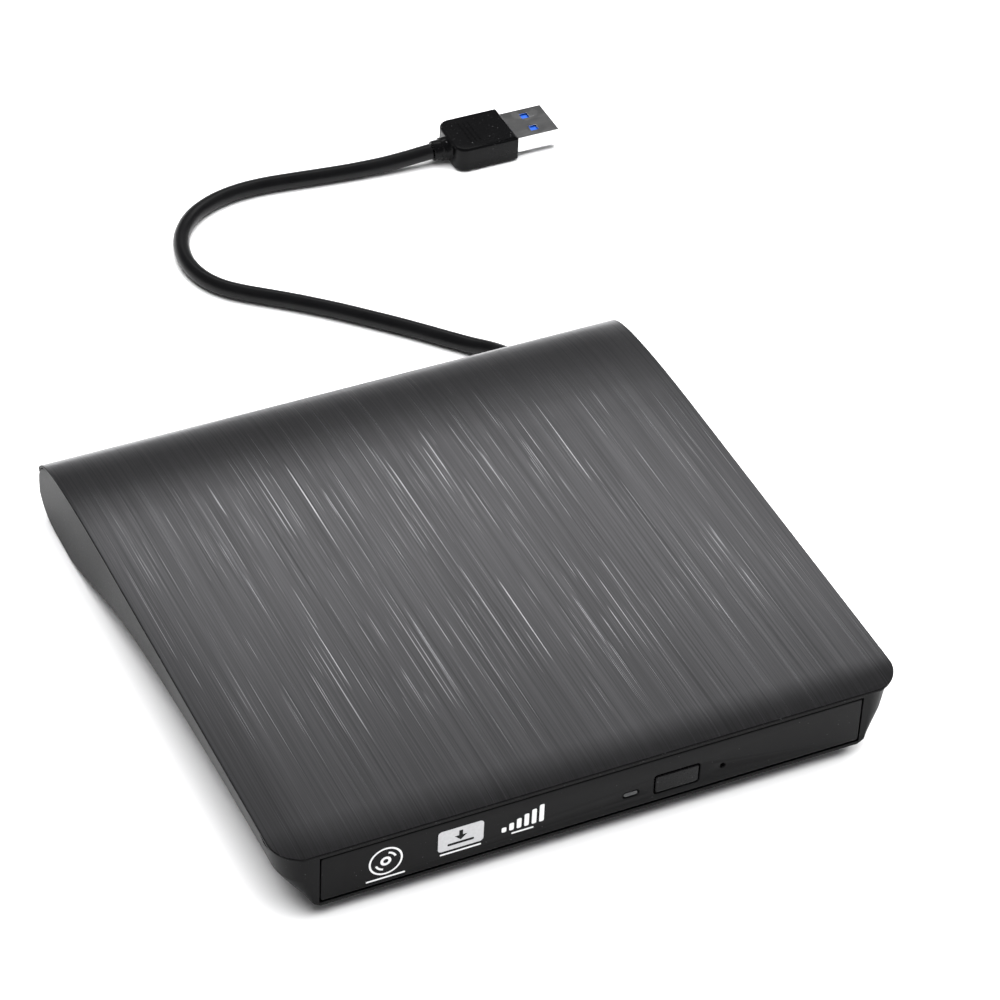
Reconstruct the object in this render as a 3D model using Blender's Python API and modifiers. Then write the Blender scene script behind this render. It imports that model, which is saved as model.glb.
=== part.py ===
"""External optical disc drive: a wedge-backed case around a slim tray-load drive, with a captive USB lead.

The case stands on four rubber feet. +Z is up, the tray comes out towards -Y and X runs across the drive.
The origin is on the table under the middle of the case. Sizes are in millimetres here and become metres
where a mesh or a curve is made.
"""

from math import cos, hypot, pi, radians, sin

import bmesh
import bpy
from mathutils import Matrix, Vector

MM = 0.001
GAP = 0.3                # between pieces that rest on each other
SHARP_ANGLE = 35.0       # edges sharper than this are rounded by a bevel and shaded sharp
BELOW, ABOVE = -5.0, 30.0    # z of cuts that pass right through the case

# Case
WIDTH = 148.0
DEPTH = 149.0
HEIGHT = 20.0
COVER_WALL = 1.5
CASE_WALL = 1.5
FLOOR_WALL = 1.2
POCKET_WALL = 3.1        # least thickness of the base's drafted sides beside the open space at its top
FLOOR_Z = 3.0            # underside of the flat part of the base
HUMP_Z = 0.4             # underside of the base's rear hump
SEAM_Z = HEIGHT - COVER_WALL
FRONT_Y = -DEPTH / 2
LIP_EDGE = 0.6           # thickness of the cover's front edge
LIP_RUN = 10.0           # length over which it thickens to the cover's full wall
COVER_CORNERS = (7.0, 3.0)   # radii in plan, front and rear
BASE_HALF = WIDTH / 2 - 0.2
BASE_CORNERS = (8.0, 2.5)
FACE_Y = FRONT_Y + 0.8   # front face of the base and of the tray's bezel
PARTING_Z = 8.6          # round the back, the cover ends and the base begins here

# Rear roll, from the flat top round the back to the hump's underside: (y, z)
REAR_ROLL = [(31.5, HEIGHT), (43.5, 19.75), (54.5, 19.1), (63.5, 18.0), (69.5, 16.2), (73.1, 13.2),
             (DEPTH / 2, 9.6), (73.9, 6.0), (71.5, 3.0), (67.9, 1.1), (63.5, HUMP_Z)]

# Underside from the hump's flat forward to the flat base: (y, z)
HUMP_RISE = [(54.0, HUMP_Z), (50.5, 0.8), (45.0, 2.3), (40.0, FLOOR_Z)]

# Space in the hump, behind the drive: (y, z)
HUMP_SPACE = [(55.6, 4.2), (57.0, 2.0), (66.5, 2.0), (69.6, 3.6), (70.6, 6.0), (70.6, 30.0), (55.6, 30.0)]

# Undercut of the base's lower side edges: (y, width at the floor, height, draft of the side above it)
UNDERCUT = [(-85, 9.9, 8.6, 1.7), (-40, 9.7, 8.4, 1.6), (-20, 9.2, 7.9, 1.4), (0, 8.3, 7.1, 1.1),
            (15, 6.9, 6.0, 0.8), (25, 5.4, 4.8, 0.5), (33, 3.5, 3.2, 0.2), (41, 1.4, 1.3, 0.0),
            (46, 0.3, 0.2, 0.0)]
UNDERCUT_POWER = 1.15    # 1 is a straight chamfer, 2 an ellipse

# Groove for the stowed cable, under the hump
GROOVE_HALF = 69.6
GROOVE_Y = (60.5, 65.1)
GROOVE_TOP = 4.9

# Posts, screws and feet, each at its (x, y)
SCREW_POSTS = [(-64.0, 62.8), (64.0, 62.8)]      # for the case screws, in the roof of the cable groove
BOARD_POSTS = [(-54.0, 63.0), (36.0, 63.0)]
COVER_POST = (3.0, 8.3, 17.3)                    # radius, from z, to z
BASE_POST = (3.6, 5.2, 8.0)
BOARD_POST = (2.4, 5.0, 9.5)
POST_HOLE_R = 1.5
SMALL_HOLE_R = 1.2
SCREW_WAY = (1.5, 4.0, 9.0)                      # through the base, for a case screw's shank
HEAD_WAY = (2.8, 3.0, 6.6)                       # and for its head
LID_SCREWS = [(-61.6, -60.0), (61.6, -60.0), (-61.6, 36.0), (61.6, 36.0)]
FEET = {"front_left": (-56.0, -60.0), "front_right": (56.0, -60.0),
        "rear_left": (-54.0, 56.8), "rear_right": (54.0, 56.8)}
FOOT_R = {"front": 4.6, "rear": 2.7}
FOOT_ROOF = {"front": FLOOR_Z + 0.5, "rear": 1.2}     # top of each foot's recess

# Screws: (radius, length) of the head and of the shank
CASE_SCREW = ((2.5, 1.3), (1.15, 7.6))
BOARD_SCREW = ((2.0, 1.1), (0.8, 3.9))
LID_SCREW = ((1.6, 0.5), (0.65, 1.7))

# Inner drive, 128 mm wide and 12.7 mm high
DRIVE_HALF = 64.0
DRIVE_Z = 4.5
DRIVE_TOP = DRIVE_Z + 12.7
DRIVE_FRONT = -69.5
DRIVE_REAR = 55.0
SHEET = 0.6
BAY_HALF = DRIVE_HALF + 0.45
WALL_TOP = DRIVE_TOP - SHEET - GAP
REAR_WALL_TOP = 12.4         # the chassis's rear wall is lower there, under the lid's flange
TAB_HOLE = (1.0, 14.5, 18.0)     # of a lid screw: radius, from z, to z
SPINDLE_Y = -6.0
CONNECTOR_X = (-36.0, -4.0)  # edge connector between the drive and the bridge board
CONNECTOR_Z = (6.2, 9.5)
CATCH = (-48.0, 50.2)        # catch pin that the tray's latch hook closes on
CATCH_PIN = (1.6, 5.4, 8.0)

# Boards and their parts: the low and the high corner of each
INTERFACE_BOARD = ((-40.0, 47.2, 9.8), (58.0, 54.0, 10.8))
FLEX_RIBBON = ((-2.0, -14.0, 5.4), (22.0, 54.0, 5.55))
BRIDGE_BOARD = ((-58.0, 57.6, 9.8), (41.0, 67.6, 11.0))
BRIDGE_CHIP = ((5.0, 58.8, 11.3), (12.5, 66.3, 12.5))
SOLENOID = ((-42.0, 28.0, 6.8), (-29.0, 36.5, 10.5))
EJECT_SWITCH = ((16.2, -67.9, 8.0), (22.2, -65.6, 10.5))

# Tray and bezel
BEZEL_HALF = 64.1
BEZEL_Z = (4.7, 16.95)
BEZEL_WALL = 2.2
TRAY_HALF = 62.3
TRAY_FRONT = FACE_Y + BEZEL_WALL + GAP
TRAY_REAR = 46.0
TRAY_PLATE_Z = 10.9
TRAY_RIM_Z = 15.4
WELL_Z = 12.4
SMALL_WELL_Z = 11.8
WELL_R = 60.6
SMALL_WELL_R = 40.6
SKIRT_HALF = 59.4
SKIRT_WALL = 1.5
SKIRT_Z = 5.9
RAIL_X = (59.8, 62.0)
RAIL_Y = (-68.5, 44.0)
RAIL_Z = (6.8, 10.2)
GUIDE_X = (60.0, 62.3, 63.1)     # its flange's edge, then its wall's inner and outer face
GUIDE_Y = (-66.0, 50.0)
GUIDE_Z = (5.4, 6.4, 10.6)       # its foot, the flange's top and the wall's top
TRAY_BOARD = [(-56, -69.2), (33, -69.2), (33, -67.3), (20, -67.3), (-20, -19), (-30, -8), (-56, -8)]
TRAY_BOARD_Z = (6.8, 7.6)
SHIELD_Z = (5.9, 6.4)
HOOK_Z = (8.3, 9.6)

# Latch hook from its pivot end round to its tail, from the catch pin: (x, y)
HOOK = [(-6.0, -17.2), (-3.0, -19.0), (0.0, -17.2), (-0.6, -2.0), (2.6, 2.2), (1.2, 3.0), (-3.8, 2.4),
        (-5.6, -10.2)]
HOOK_PIVOT = (-3.0, -16.2, 1.3)      # x, y and the bore's radius

# Bezel details: middle x and z, then width and height or radius
BUTTON = (19.2, 9.4, 10.4, 4.8)
BUTTON_PROUD = 0.1       # how far the button stands out of the panel at rest
BUTTON_DEEP = 1.3        # and how far it reaches behind the panel's face, clear of the tray when pressed
LED = (8.1, 8.9, 3.4, 1.2)
PINHOLE = (30.3, 9.3, 0.65)

# Traverse: a frame turned about the spindle, with u outwards along the pickup's way and v across it
TRAVERSE_TURN = -50.0
FRAME_U = (-15.0, 63.8)
FRAME_V = (-18.6, 19.6)
FRAME_Z = (6.9, 7.9)
PICKUP_WAY = ((-15.5, 63.2), (-13.4, 13.4))      # u and v of the opening in the tray's floor
WAY_Z = (9.0, 12.9)
DAMPERS = [(-11.4, -16.6), (60.5, -16.4), (-11.4, 16.0)]
ROD_Z = 10.1
ROD_U = (10.0, 60.0)
MAIN_ROD = (10.5, 1.5)   # v and radius
SUB_ROD = (-11.0, 1.1)
SCREW_ROD = (16.1, 1.2)
SCREW_Z = 9.3
LENS_U = 25.0            # the lens at its innermost, from the spindle's axis
LENS_BORE_R = 2.3
HUB_R = 7.3
MOTOR_R = 11.0
STEPPER = ((56.0, 63.0), (12.9, 19.3), (6.8, 10.6))      # u, v and z

# Lead, plug and strain relief
CORD_D = 4.2
CORD_POINTS = 76
CORD_ROUTE = [(50.2, 76.8, 5.2), (50.0, 79.0, 4.95), (49.3, 81.4, 4.4), (48.3, 83.9, 3.7),
              (46.8, 86.6, 3.0), (44.8, 89.4, 2.4), (42.3, 92.3, 2.17), (39.3, 95.5, 2.15),
              (35.2, 99.9, 2.15), (30.6, 104.6, 2.15), (25.8, 109.3, 2.15), (21.0, 113.9, 2.15),
              (16.1, 118.3, 2.15), (11.0, 122.6, 2.15), (5.8, 126.7, 2.15), (0.8, 130.6, 2.15),
              (-3.5, 134.8, 2.15), (-6.5, 139.9, 2.15), (-7.9, 146.1, 2.15), (-7.3, 152.9, 2.15),
              (-4.5, 159.8, 2.15), (0.7, 165.7, 2.15), (7.4, 169.4, 2.15), (14.8, 171.2, 2.15),
              (22.4, 171.4, 2.15), (30.4, 170.6, 2.15), (38.4, 169.6, 2.15), (46.4, 168.7, 2.2),
              (54.0, 168.0, 2.45), (60.2, 167.5, 3.0), (64.8, 167.25, 3.5), (67.9, 167.2, 3.7)]
RELIEF_R = (2.5, 2.9)        # of the strain relief at its tip and in the case's wall
RELIEF_TAPER_Y = 74.6        # it tapers behind here
RELIEF_COLLAR = (3.3, 66.4, 67.4)    # radius, then from and to y, inside the wall
PLUG_X = (72.6, 90.0)
PLUG_MID = (167.2, 3.7)      # y and z of its axis
PLUG_SIZE = (15.0, 7.0)      # width and height
PLUG_NECK = (2.7, 68.2)      # radius and the x where it begins
SHELL = (12.0, 4.5, 12.2)    # width, height and exposed length
SHELL_WALL = 0.3

COLLECTION = "external_optical_drive"


# ---------------------------------------------------------------- scene and materials

def clear_scene():
    for obj in list(bpy.data.objects):
        bpy.data.objects.remove(obj, do_unlink=True)


def make_collection(name, hidden=False):
    made = bpy.data.collections.new(name)
    made.hide_render = hidden
    bpy.context.scene.collection.children.link(made)
    return made


def material(name, colour, roughness, metallic=0.0):
    made = bpy.data.materials.new(name)
    made.use_nodes = True
    shader = made.node_tree.nodes["Principled BSDF"]
    shader.inputs["Base Color"].default_value = (*colour, 1.0)
    shader.inputs["Roughness"].default_value = roughness
    shader.inputs["Metallic"].default_value = metallic
    return made


def make_materials():
    return {
        "cover": material("brushed_black", (0.045, 0.045, 0.048), 0.35, 0.3),
        "case": material("black_plastic", (0.022, 0.022, 0.024), 0.45),
        "tray": material("tray_plastic", (0.028, 0.028, 0.03), 0.55),
        "steel": material("zinc_steel", (0.55, 0.56, 0.57), 0.35, 1.0),
        "bright": material("bright_steel", (0.72, 0.73, 0.74), 0.18, 1.0),
        "rubber": material("rubber", (0.018, 0.018, 0.018), 0.85),
        "board": material("circuit_board", (0.02, 0.12, 0.05), 0.5),
        "chip": material("chip", (0.015, 0.015, 0.016), 0.4),
        "ribbon": material("ribbon", (0.75, 0.72, 0.62), 0.45),
        "lens": material("lens", (0.35, 0.45, 0.6), 0.05),
        "led": material("led_window", (0.16, 0.17, 0.18), 0.2),
        "insert": material("plug_insert", (0.03, 0.12, 0.55), 0.4),
    }


# ---------------------------------------------------------------- shapes

def add_mesh(name, bm, collection, mat=None):
    """A mesh object from a bmesh in millimetres."""
    bmesh.ops.scale(bm, vec=Vector((MM, MM, MM)), verts=bm.verts)
    bmesh.ops.recalc_face_normals(bm, faces=bm.faces)
    mesh = bpy.data.meshes.new(name)
    bm.to_mesh(mesh)
    bm.free()
    shade(mesh)
    obj = bpy.data.objects.new(name, mesh)
    collection.objects.link(obj)
    if mat:
        mesh.materials.append(mat)
    return obj


def shade(mesh):
    """Smooth round faces, with the edges between flat ones sharp."""
    mesh.shade_smooth()
    mesh.set_sharp_from_angle(angle=radians(SHARP_ANGLE))


def box_solid(name, low, high, collection, mat=None):
    low, high = Vector(low), Vector(high)
    bm = bmesh.new()
    bmesh.ops.create_cube(bm, size=1.0)
    bmesh.ops.scale(bm, vec=high - low, verts=bm.verts)
    bmesh.ops.translate(bm, vec=(low + high) / 2, verts=bm.verts)
    return add_mesh(name, bm, collection, mat)


def rod_solid(name, radius, start, end, collection, mat=None, sides=20):
    """A cylinder from start to end."""
    start, end = Vector(start), Vector(end)
    bm = bmesh.new()
    bmesh.ops.create_cone(bm, cap_ends=True, segments=sides, radius1=radius, radius2=radius,
                          depth=(end - start).length)
    turn = (end - start).to_track_quat("Z", "Y").to_matrix().to_4x4()
    bmesh.ops.transform(bm, matrix=Matrix.Translation((start + end) / 2) @ turn, verts=bm.verts)
    return add_mesh(name, bm, collection, mat)


PLANES = {
    "XY": Matrix.Identity(4),
    "YZ": Matrix(((0, 0, 1, 0), (1, 0, 0, 0), (0, 1, 0, 0), (0, 0, 0, 1))),   # outline (y, z), thick along X
}


def outline_solid(name, outline, low, high, collection, mat=None, plane="XY"):
    """A flat outline filled and extruded from low to high across its plane, as a welded mesh."""
    curve = bpy.data.curves.new(name + "_outline", "CURVE")
    curve.dimensions = "2D"
    curve.fill_mode = "BOTH"
    curve.extrude = (high - low) / 2 * MM
    spline = curve.splines.new("POLY")
    spline.points.add(len(outline) - 1)
    for point, (a, b) in zip(spline.points, outline):
        point.co = (a * MM, b * MM, 0.0, 1.0)
    spline.use_cyclic_u = True
    guide = bpy.data.objects.new(name + "_outline", curve)
    collection.objects.link(guide)
    guide.matrix_world = PLANES[plane] @ Matrix.Translation((0, 0, (high + low) / 2 * MM))
    return solid_from_curve(name, guide, collection, mat)


def solid_from_curve(name, guide, collection, mat=None):
    """The guide curve's evaluated surface as a closed mesh object; the curve is removed."""
    bpy.context.view_layer.update()
    graph = bpy.context.evaluated_depsgraph_get()
    mesh = bpy.data.meshes.new_from_object(guide.evaluated_get(graph))
    mesh.transform(guide.matrix_world)
    bm = bmesh.new()
    bm.from_mesh(mesh)
    bmesh.ops.remove_doubles(bm, verts=bm.verts, dist=0.000005)
    bmesh.ops.recalc_face_normals(bm, faces=bm.faces)
    bm.to_mesh(mesh)
    bm.free()
    shade(mesh)
    mesh.name = name
    mesh.materials.clear()
    if mat:
        mesh.materials.append(mat)
    obj = bpy.data.objects.new(name, mesh)
    collection.objects.link(obj)
    bpy.data.objects.remove(guide, do_unlink=True)
    return obj


def turned_solid(name, profile, place, collection, mat=None, sides=32, axis="Z"):
    """A profile of (radius, height) from top to bottom, turned about the line along axis through place."""
    mesh = bpy.data.meshes.new(name)
    points = [(r * MM, 0.0, h * MM) for r, h in profile]
    mesh.from_pydata(points, [(i, i + 1) for i in range(len(points) - 1)], [])
    obj = bpy.data.objects.new(name, mesh)
    collection.objects.link(obj)
    if mat:
        mesh.materials.append(mat)
    screw = obj.modifiers.new("turn", "SCREW")
    screw.angle = 2 * pi
    screw.steps = screw.render_steps = sides
    screw.use_merge_vertices = True
    screw.merge_threshold = 0.00001
    obj.location = Vector(place) * MM
    if axis == "Y":
        obj.rotation_euler = (-pi / 2, 0.0, 0.0)
    return obj


def upright_rod(name, x, y, size, collection, mat=None, sides=20):
    """A vertical cylinder from its (radius, low z, high z)."""
    radius, low, high = size
    return rod_solid(name, radius, (x, y, low), (x, y, high), collection, mat, sides)


def loft_solid(name, rings, collection, mat=None):
    """Rings with the same number of points joined in order, with both ends closed."""
    bm = bmesh.new()
    made = [[bm.verts.new(point) for point in ring] for ring in rings]
    count = len(rings[0])
    for first, second in zip(made, made[1:]):
        for i in range(count):
            bm.faces.new((first[i], first[(i + 1) % count], second[(i + 1) % count], second[i]))
    bm.faces.new(made[0])
    bm.faces.new(list(reversed(made[-1])))
    return add_mesh(name, bm, collection, mat)


def combine(obj, tools, operation="DIFFERENCE"):
    """Cuts, joins or intersects an object with each tool."""
    for tool in tools if isinstance(tools, (list, tuple)) else [tools]:
        tool.hide_render = True
        tool.display_type = "WIRE"
        boolean = obj.modifiers.new(operation.lower() + "_" + tool.name, "BOOLEAN")
        boolean.operation = operation
        boolean.solver = "EXACT"
        boolean.object = tool
    return obj


def round_edges(obj, width, segments=2):
    bevel = obj.modifiers.new("rounded", "BEVEL")
    bevel.width = width * MM
    bevel.segments = segments
    bevel.limit_method = "ANGLE"
    bevel.angle_limit = radians(SHARP_ANGLE)
    return obj


def smooth_line(points, steps):
    """A Catmull-Rom curve through points of any dimension, with steps points to each span."""
    points = [Vector(p) for p in points]
    ends = [2 * points[0] - points[1]] + points + [2 * points[-1] - points[-2]]
    line = []
    for a, b, c, d in zip(ends, ends[1:], ends[2:], ends[3:]):
        for i in range(steps):
            t = i / steps
            line.append(0.5 * (2 * b + (c - a) * t + (2 * a - 5 * b + 4 * c - d) * t * t
                               + (3 * b - a - 3 * c + d) * t ** 3))
    return line + [points[-1]]


def even_line(points, count):
    """count points at even spacing along a line."""
    lengths = [(b - a).length for a, b in zip(points, points[1:])]
    total, line, i, passed = sum(lengths), [], 0, 0.0
    for k in range(count):
        at = total * k / (count - 1)
        while i < len(lengths) - 1 and passed + lengths[i] < at:
            passed += lengths[i]
            i += 1
        line.append(points[i].lerp(points[i + 1], min(1.0, (at - passed) / lengths[i])))
    return line


def offset_line(points, distance):
    """An open line moved to its right by distance."""
    moved = []
    for i, p in enumerate(points):
        before, after = points[max(i - 1, 0)], points[min(i + 1, len(points) - 1)]
        dy, dz = after[0] - before[0], after[1] - before[1]
        length = hypot(dy, dz)
        moved.append((p[0] + dz / length * distance, p[1] - dy / length * distance))
    return moved


def plan_outline(half_x, low_y, high_y, front_r, rear_r, steps=6):
    """A rectangle seen from above, with its own corner radii at the front and the rear."""
    corners = [(half_x - front_r, low_y + front_r, front_r, -90),
               (half_x - rear_r, high_y - rear_r, rear_r, 0),
               (-half_x + rear_r, high_y - rear_r, rear_r, 90),
               (-half_x + front_r, low_y + front_r, front_r, 180)]
    return [(x + r * cos(radians(a + 90 * i / steps)), y + r * sin(radians(a + 90 * i / steps)))
            for x, y, r, a in corners for i in range(steps + 1)]


def traverse_point(u, v, z=None):
    """Where the traverse's u and v lie in the drive."""
    turn = radians(TRAVERSE_TURN)
    x, y = u * cos(turn) - v * sin(turn), SPINDLE_Y + u * sin(turn) + v * cos(turn)
    return (x, y) if z is None else (x, y, z)


def traverse_box(name, u, v, z, collection, mat=None):
    """A box along the traverse, from its ranges of u, v and z."""
    outline = [traverse_point(u[0], v[0]), traverse_point(u[1], v[0]), traverse_point(u[1], v[1]),
               traverse_point(u[0], v[1])]
    return outline_solid(name, outline, z[0], z[1], collection, mat)


# ---------------------------------------------------------------- case

def rear_roll(inset):
    """The rear roll moved in by inset, split where the cover ends and the base begins."""
    line = offset_line([tuple(p) for p in smooth_line(REAR_ROLL, 3)], inset)
    split = next(i for i, p in enumerate(line) if p[1] < PARTING_Z)
    return line[:split], line[split:]


def cover_outline():
    """The cover seen from its right side, as (y, z): a lip that thickens, the flat top and the roll."""
    rise = COVER_WALL - LIP_EDGE
    lip = [(FRONT_Y + LIP_RUN - LIP_RUN * cos(pi / 12 * i), SEAM_Z + LIP_EDGE + rise * sin(pi / 12 * i))
           for i in range(7)]
    outer, _ = rear_roll(0)
    inner, _ = rear_roll(COVER_WALL)
    return [(FRONT_Y, SEAM_Z), *lip, *outer, *reversed(inner)]


def base_outline():
    """The base seen from its right side, solid, as (y, z)."""
    _, lower = rear_roll(0)
    upper, _ = rear_roll(COVER_WALL + GAP)
    rise = [tuple(p) for p in smooth_line(HUMP_RISE, 3)]
    return [(FACE_Y + 0.6, FLOOR_Z), (FACE_Y, FLOOR_Z + 0.5), (FACE_Y, SEAM_Z - GAP), *upper, *lower, *rise]


def undercut_solid(side, cutters):
    """What lies outside the base's drafted side and curved lower edge on one side, -1 or 1."""
    steps, start_z, far_x, far_z = 6, FLOOR_Z - 0.05, 90.0, -9.0
    rings = []
    for y, width, height, draft in UNDERCUT:
        inner, outer = BASE_HALF - width, BASE_HALF - draft
        ring = [(side * (BASE_HALF + 0.05), y, HEIGHT), (side * far_x, y, HEIGHT), (side * far_x, y, far_z),
                (side * inner, y, far_z)]
        for i in range(steps + 1):
            across = i / steps
            up = 1 - (1 - across ** UNDERCUT_POWER) ** (1 / UNDERCUT_POWER)
            ring.append((side * (inner + (outer - inner) * across), y,
                         start_z + (FLOOR_Z + height - start_z) * up))
        rings.append(ring)
    return loft_solid("undercut_%s" % ("left" if side < 0 else "right"), rings, cutters)


def make_cover(parts, cutters, mats):
    cover = outline_solid("top_cover", cover_outline(), -WIDTH / 2, WIDTH / 2, parts, mats["cover"], "YZ")
    plan = outline_solid("cover_plan", plan_outline(WIDTH / 2, FRONT_Y, DEPTH / 2 + 1, *COVER_CORNERS),
                         BELOW, ABOVE, cutters)
    combine(cover, plan, "INTERSECT")
    for i, (x, y) in enumerate(SCREW_POSTS):
        _, low, high = COVER_POST
        combine(cover, upright_rod("cover_post_%d" % i, x, y, COVER_POST, cutters), "UNION")
        combine(cover, upright_rod("post_hole_%d" % i, x, y, (POST_HOLE_R, low - 1, high - 2.8), cutters))


def make_base(parts, cutters, mats):
    base = outline_solid("base_shell", base_outline(), -BASE_HALF, BASE_HALF, parts, mats["case"], "YZ")
    plan = outline_solid("base_plan", plan_outline(BASE_HALF, FACE_Y, DEPTH / 2 + 1, *BASE_CORNERS),
                         BELOW, ABOVE, cutters)
    combine(base, plan, "INTERSECT")
    combine(base, [undercut_solid(-1, cutters), undercut_solid(1, cutters)])
    half_space = BASE_HALF - CASE_WALL
    bay = box_solid("drive_bay", (-BAY_HALF, FRONT_Y - 5, FLOOR_Z + FLOOR_WALL),
                    (BAY_HALF, DRIVE_REAR + 0.7, DRIVE_TOP + 0.15), cutters)
    pocket = BASE_HALF - POCKET_WALL
    top = box_solid("open_top", (-pocket, FRONT_Y + 6, 13.2), (pocket, 58.0, ABOVE), cutters)
    hump = outline_solid("hump_space", HUMP_SPACE, -half_space, half_space, cutters, plane="YZ")
    combine(base, [bay, top, hump])
    cut_groove(base, cutters)
    for place, (x, y) in FEET.items():
        end = place.split("_")[0]
        recess = (FOOT_R[end] + GAP, BELOW, FOOT_ROOF[end])
        combine(base, upright_rod("foot_recess_" + place, x, y, recess, cutters))
    cut_lead_way(base, cutters)


def cut_groove(base, cutters):
    """The stowed cable's groove, and the posts for the case and board screws over and beside it."""
    groove_y, roof_y = GROOVE_Y, (GROOVE_Y[0] - 1, GROOVE_Y[1] + 1)
    combine(base, box_solid("groove_roof", (-BASE_HALF + 1, roof_y[0], FOOT_ROOF["rear"]),
                            (BASE_HALF - 1, roof_y[1], GROOVE_TOP + 0.9), cutters), "UNION")
    for i, (x, y) in enumerate(SCREW_POSTS):
        combine(base, upright_rod("base_post_%d" % i, x, y, BASE_POST, cutters), "UNION")
    for i, (x, y) in enumerate(BOARD_POSTS):
        _, low, high = BOARD_POST
        combine(base, upright_rod("board_post_%d" % i, x, y, BOARD_POST, cutters), "UNION")
        hole = (SMALL_HOLE_R, low + 1.6, high + 2.5)
        combine(base, upright_rod("board_post_hole_%d" % i, x, y, hole, cutters))
    combine(base, box_solid("cable_groove", (-GROOVE_HALF, groove_y[0], BELOW),
                            (GROOVE_HALF, groove_y[1], GROOVE_TOP), cutters))
    for i, (x, y) in enumerate(SCREW_POSTS):
        combine(base, upright_rod("screw_way_%d" % i, x, y, SCREW_WAY, cutters))
        combine(base, upright_rod("screw_head_way_%d" % i, x, y, HEAD_WAY, cutters))


def cut_lead_way(base, cutters):
    """The hole in the rear wall that holds the strain relief, with a wider seat for its collar."""
    x, y, z = CORD_ROUTE[0]
    collar_r, collar_from, collar_to = RELIEF_COLLAR
    combine(base, rod_solid("lead_way", RELIEF_R[1] + GAP, (x, collar_from, z), (x, y + 3, z), cutters))
    combine(base, rod_solid("relief_seat", collar_r + GAP, (x, collar_from - GAP, z),
                            (x, collar_to + GAP, z), cutters))


def make_feet(parts, mats):
    for place, (x, y) in FEET.items():
        end = place.split("_")[0]
        radius, height = FOOT_R[end], FOOT_ROOF[end] - GAP
        profile = [(0.0, height), (radius, height), (radius, 0.3), (radius - 0.3, 0.0), (0.0, 0.0)]
        turned_solid("foot_" + place, profile, (x, y, 0.0), parts, mats["rubber"], 20)


def screw_solid(name, place, screw, parts, mat, up=True):
    """A pan head with its shank, with the place at the middle of the head's outer face."""
    head, shank = screw
    tip = head[1] + shank[1]
    profile = [(0.0, tip), (shank[0], tip), (shank[0], head[1]), (head[0], head[1]), (head[0], 0.2),
               (head[0] - 0.2, 0.0), (0.0, 0.0)]
    if not up:
        profile = [(r, -h) for r, h in reversed(profile)]
    return turned_solid(name, profile, place, parts, mat, 16)


def make_case_screws(parts, mats):
    for i, (x, y) in enumerate(SCREW_POSTS):
        screw_solid("case_screw_%d" % (i + 1), (x, y, GROOVE_TOP + 0.1), CASE_SCREW, parts, mats["steel"])
    for i, (x, y) in enumerate(BOARD_POSTS):
        screw_solid("board_screw_%d" % (i + 1), (x, y, 12.4), BOARD_SCREW, parts, mats["steel"], up=False)


# ---------------------------------------------------------------- drive body

def make_chassis(parts, cutters, mats):
    chassis = box_solid("drive_chassis", (-DRIVE_HALF, DRIVE_FRONT, DRIVE_Z),
                        (DRIVE_HALF, DRIVE_REAR, WALL_TOP), parts, mats["steel"])
    inside = box_solid("chassis_space", (-DRIVE_HALF + SHEET, DRIVE_FRONT - 5, DRIVE_Z + SHEET),
                       (DRIVE_HALF - SHEET, DRIVE_REAR - SHEET, ABOVE), cutters)
    rear = box_solid("rear_wall_low", (-50, DRIVE_REAR - 3, REAR_WALL_TOP), (50, DRIVE_REAR + 3, ABOVE),
                     cutters)
    way = box_solid("connector_way", (CONNECTOR_X[0] - 0.4, DRIVE_REAR - 3, CONNECTOR_Z[0] - 0.4),
                    (CONNECTOR_X[1] + 0.4, DRIVE_REAR + 3, CONNECTOR_Z[1] + 0.4), cutters)
    combine(chassis, [inside, rear, way])
    for i, (x, y) in enumerate(LID_SCREWS):
        inner, outer = sorted((x * 0.96, x / abs(x) * (DRIVE_HALF - 0.2)))
        tab = box_solid("lid_tab_%d" % i, (inner, y - 3, WALL_TOP - SHEET), (outer, y + 3, WALL_TOP), cutters)
        combine(chassis, tab, "UNION")
        combine(chassis, upright_rod("tab_hole_%d" % i, x, y, TAB_HOLE, cutters, sides=16))


def make_lid(parts, cutters, mats):
    lid = box_solid("drive_lid", (-DRIVE_HALF, DRIVE_FRONT, DRIVE_TOP - SHEET),
                    (DRIVE_HALF, DRIVE_REAR, DRIVE_TOP), parts, mats["steel"])
    flange = box_solid("lid_flange", (-49.6, DRIVE_REAR - SHEET, REAR_WALL_TOP + 0.4),
                       (49.6, DRIVE_REAR, DRIVE_TOP - 0.1), cutters)
    combine(lid, flange, "UNION")
    for i, (x, y) in enumerate(LID_SCREWS):
        combine(lid, upright_rod("lid_hole_%d" % i, x, y, TAB_HOLE, cutters, sides=16))
        screw_solid("lid_screw_%d" % (i + 1), (x, y, DRIVE_TOP + 0.8), LID_SCREW, parts, mats["bright"],
                    up=False)


def make_rails(parts, cutters, mats):
    for side, label in ((-1, "left"), (1, "right")):
        flange_x, inner_x, outer_x = (side * x for x in GUIDE_X)
        back = sorted((inner_x, outer_x))
        guide = box_solid("rail_guide_" + label, (back[0], GUIDE_Y[0], GUIDE_Z[0]),
                          (back[1], GUIDE_Y[1], GUIDE_Z[2]), parts, mats["tray"])
        foot = sorted((flange_x, inner_x + side * GAP))
        flange = box_solid("guide_flange_" + label, (foot[0], GUIDE_Y[0], GUIDE_Z[0]),
                           (foot[1], GUIDE_Y[1], GUIDE_Z[1]), cutters)
        combine(guide, flange, "UNION")
        place = sorted((side * RAIL_X[0], side * RAIL_X[1]))
        rail = box_solid("rail_" + label, (place[0], RAIL_Y[0], RAIL_Z[0]), (place[1], RAIL_Y[1], RAIL_Z[1]),
                         parts, mats["steel"])
        round_edges(rail, 0.4, 1)


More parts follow.
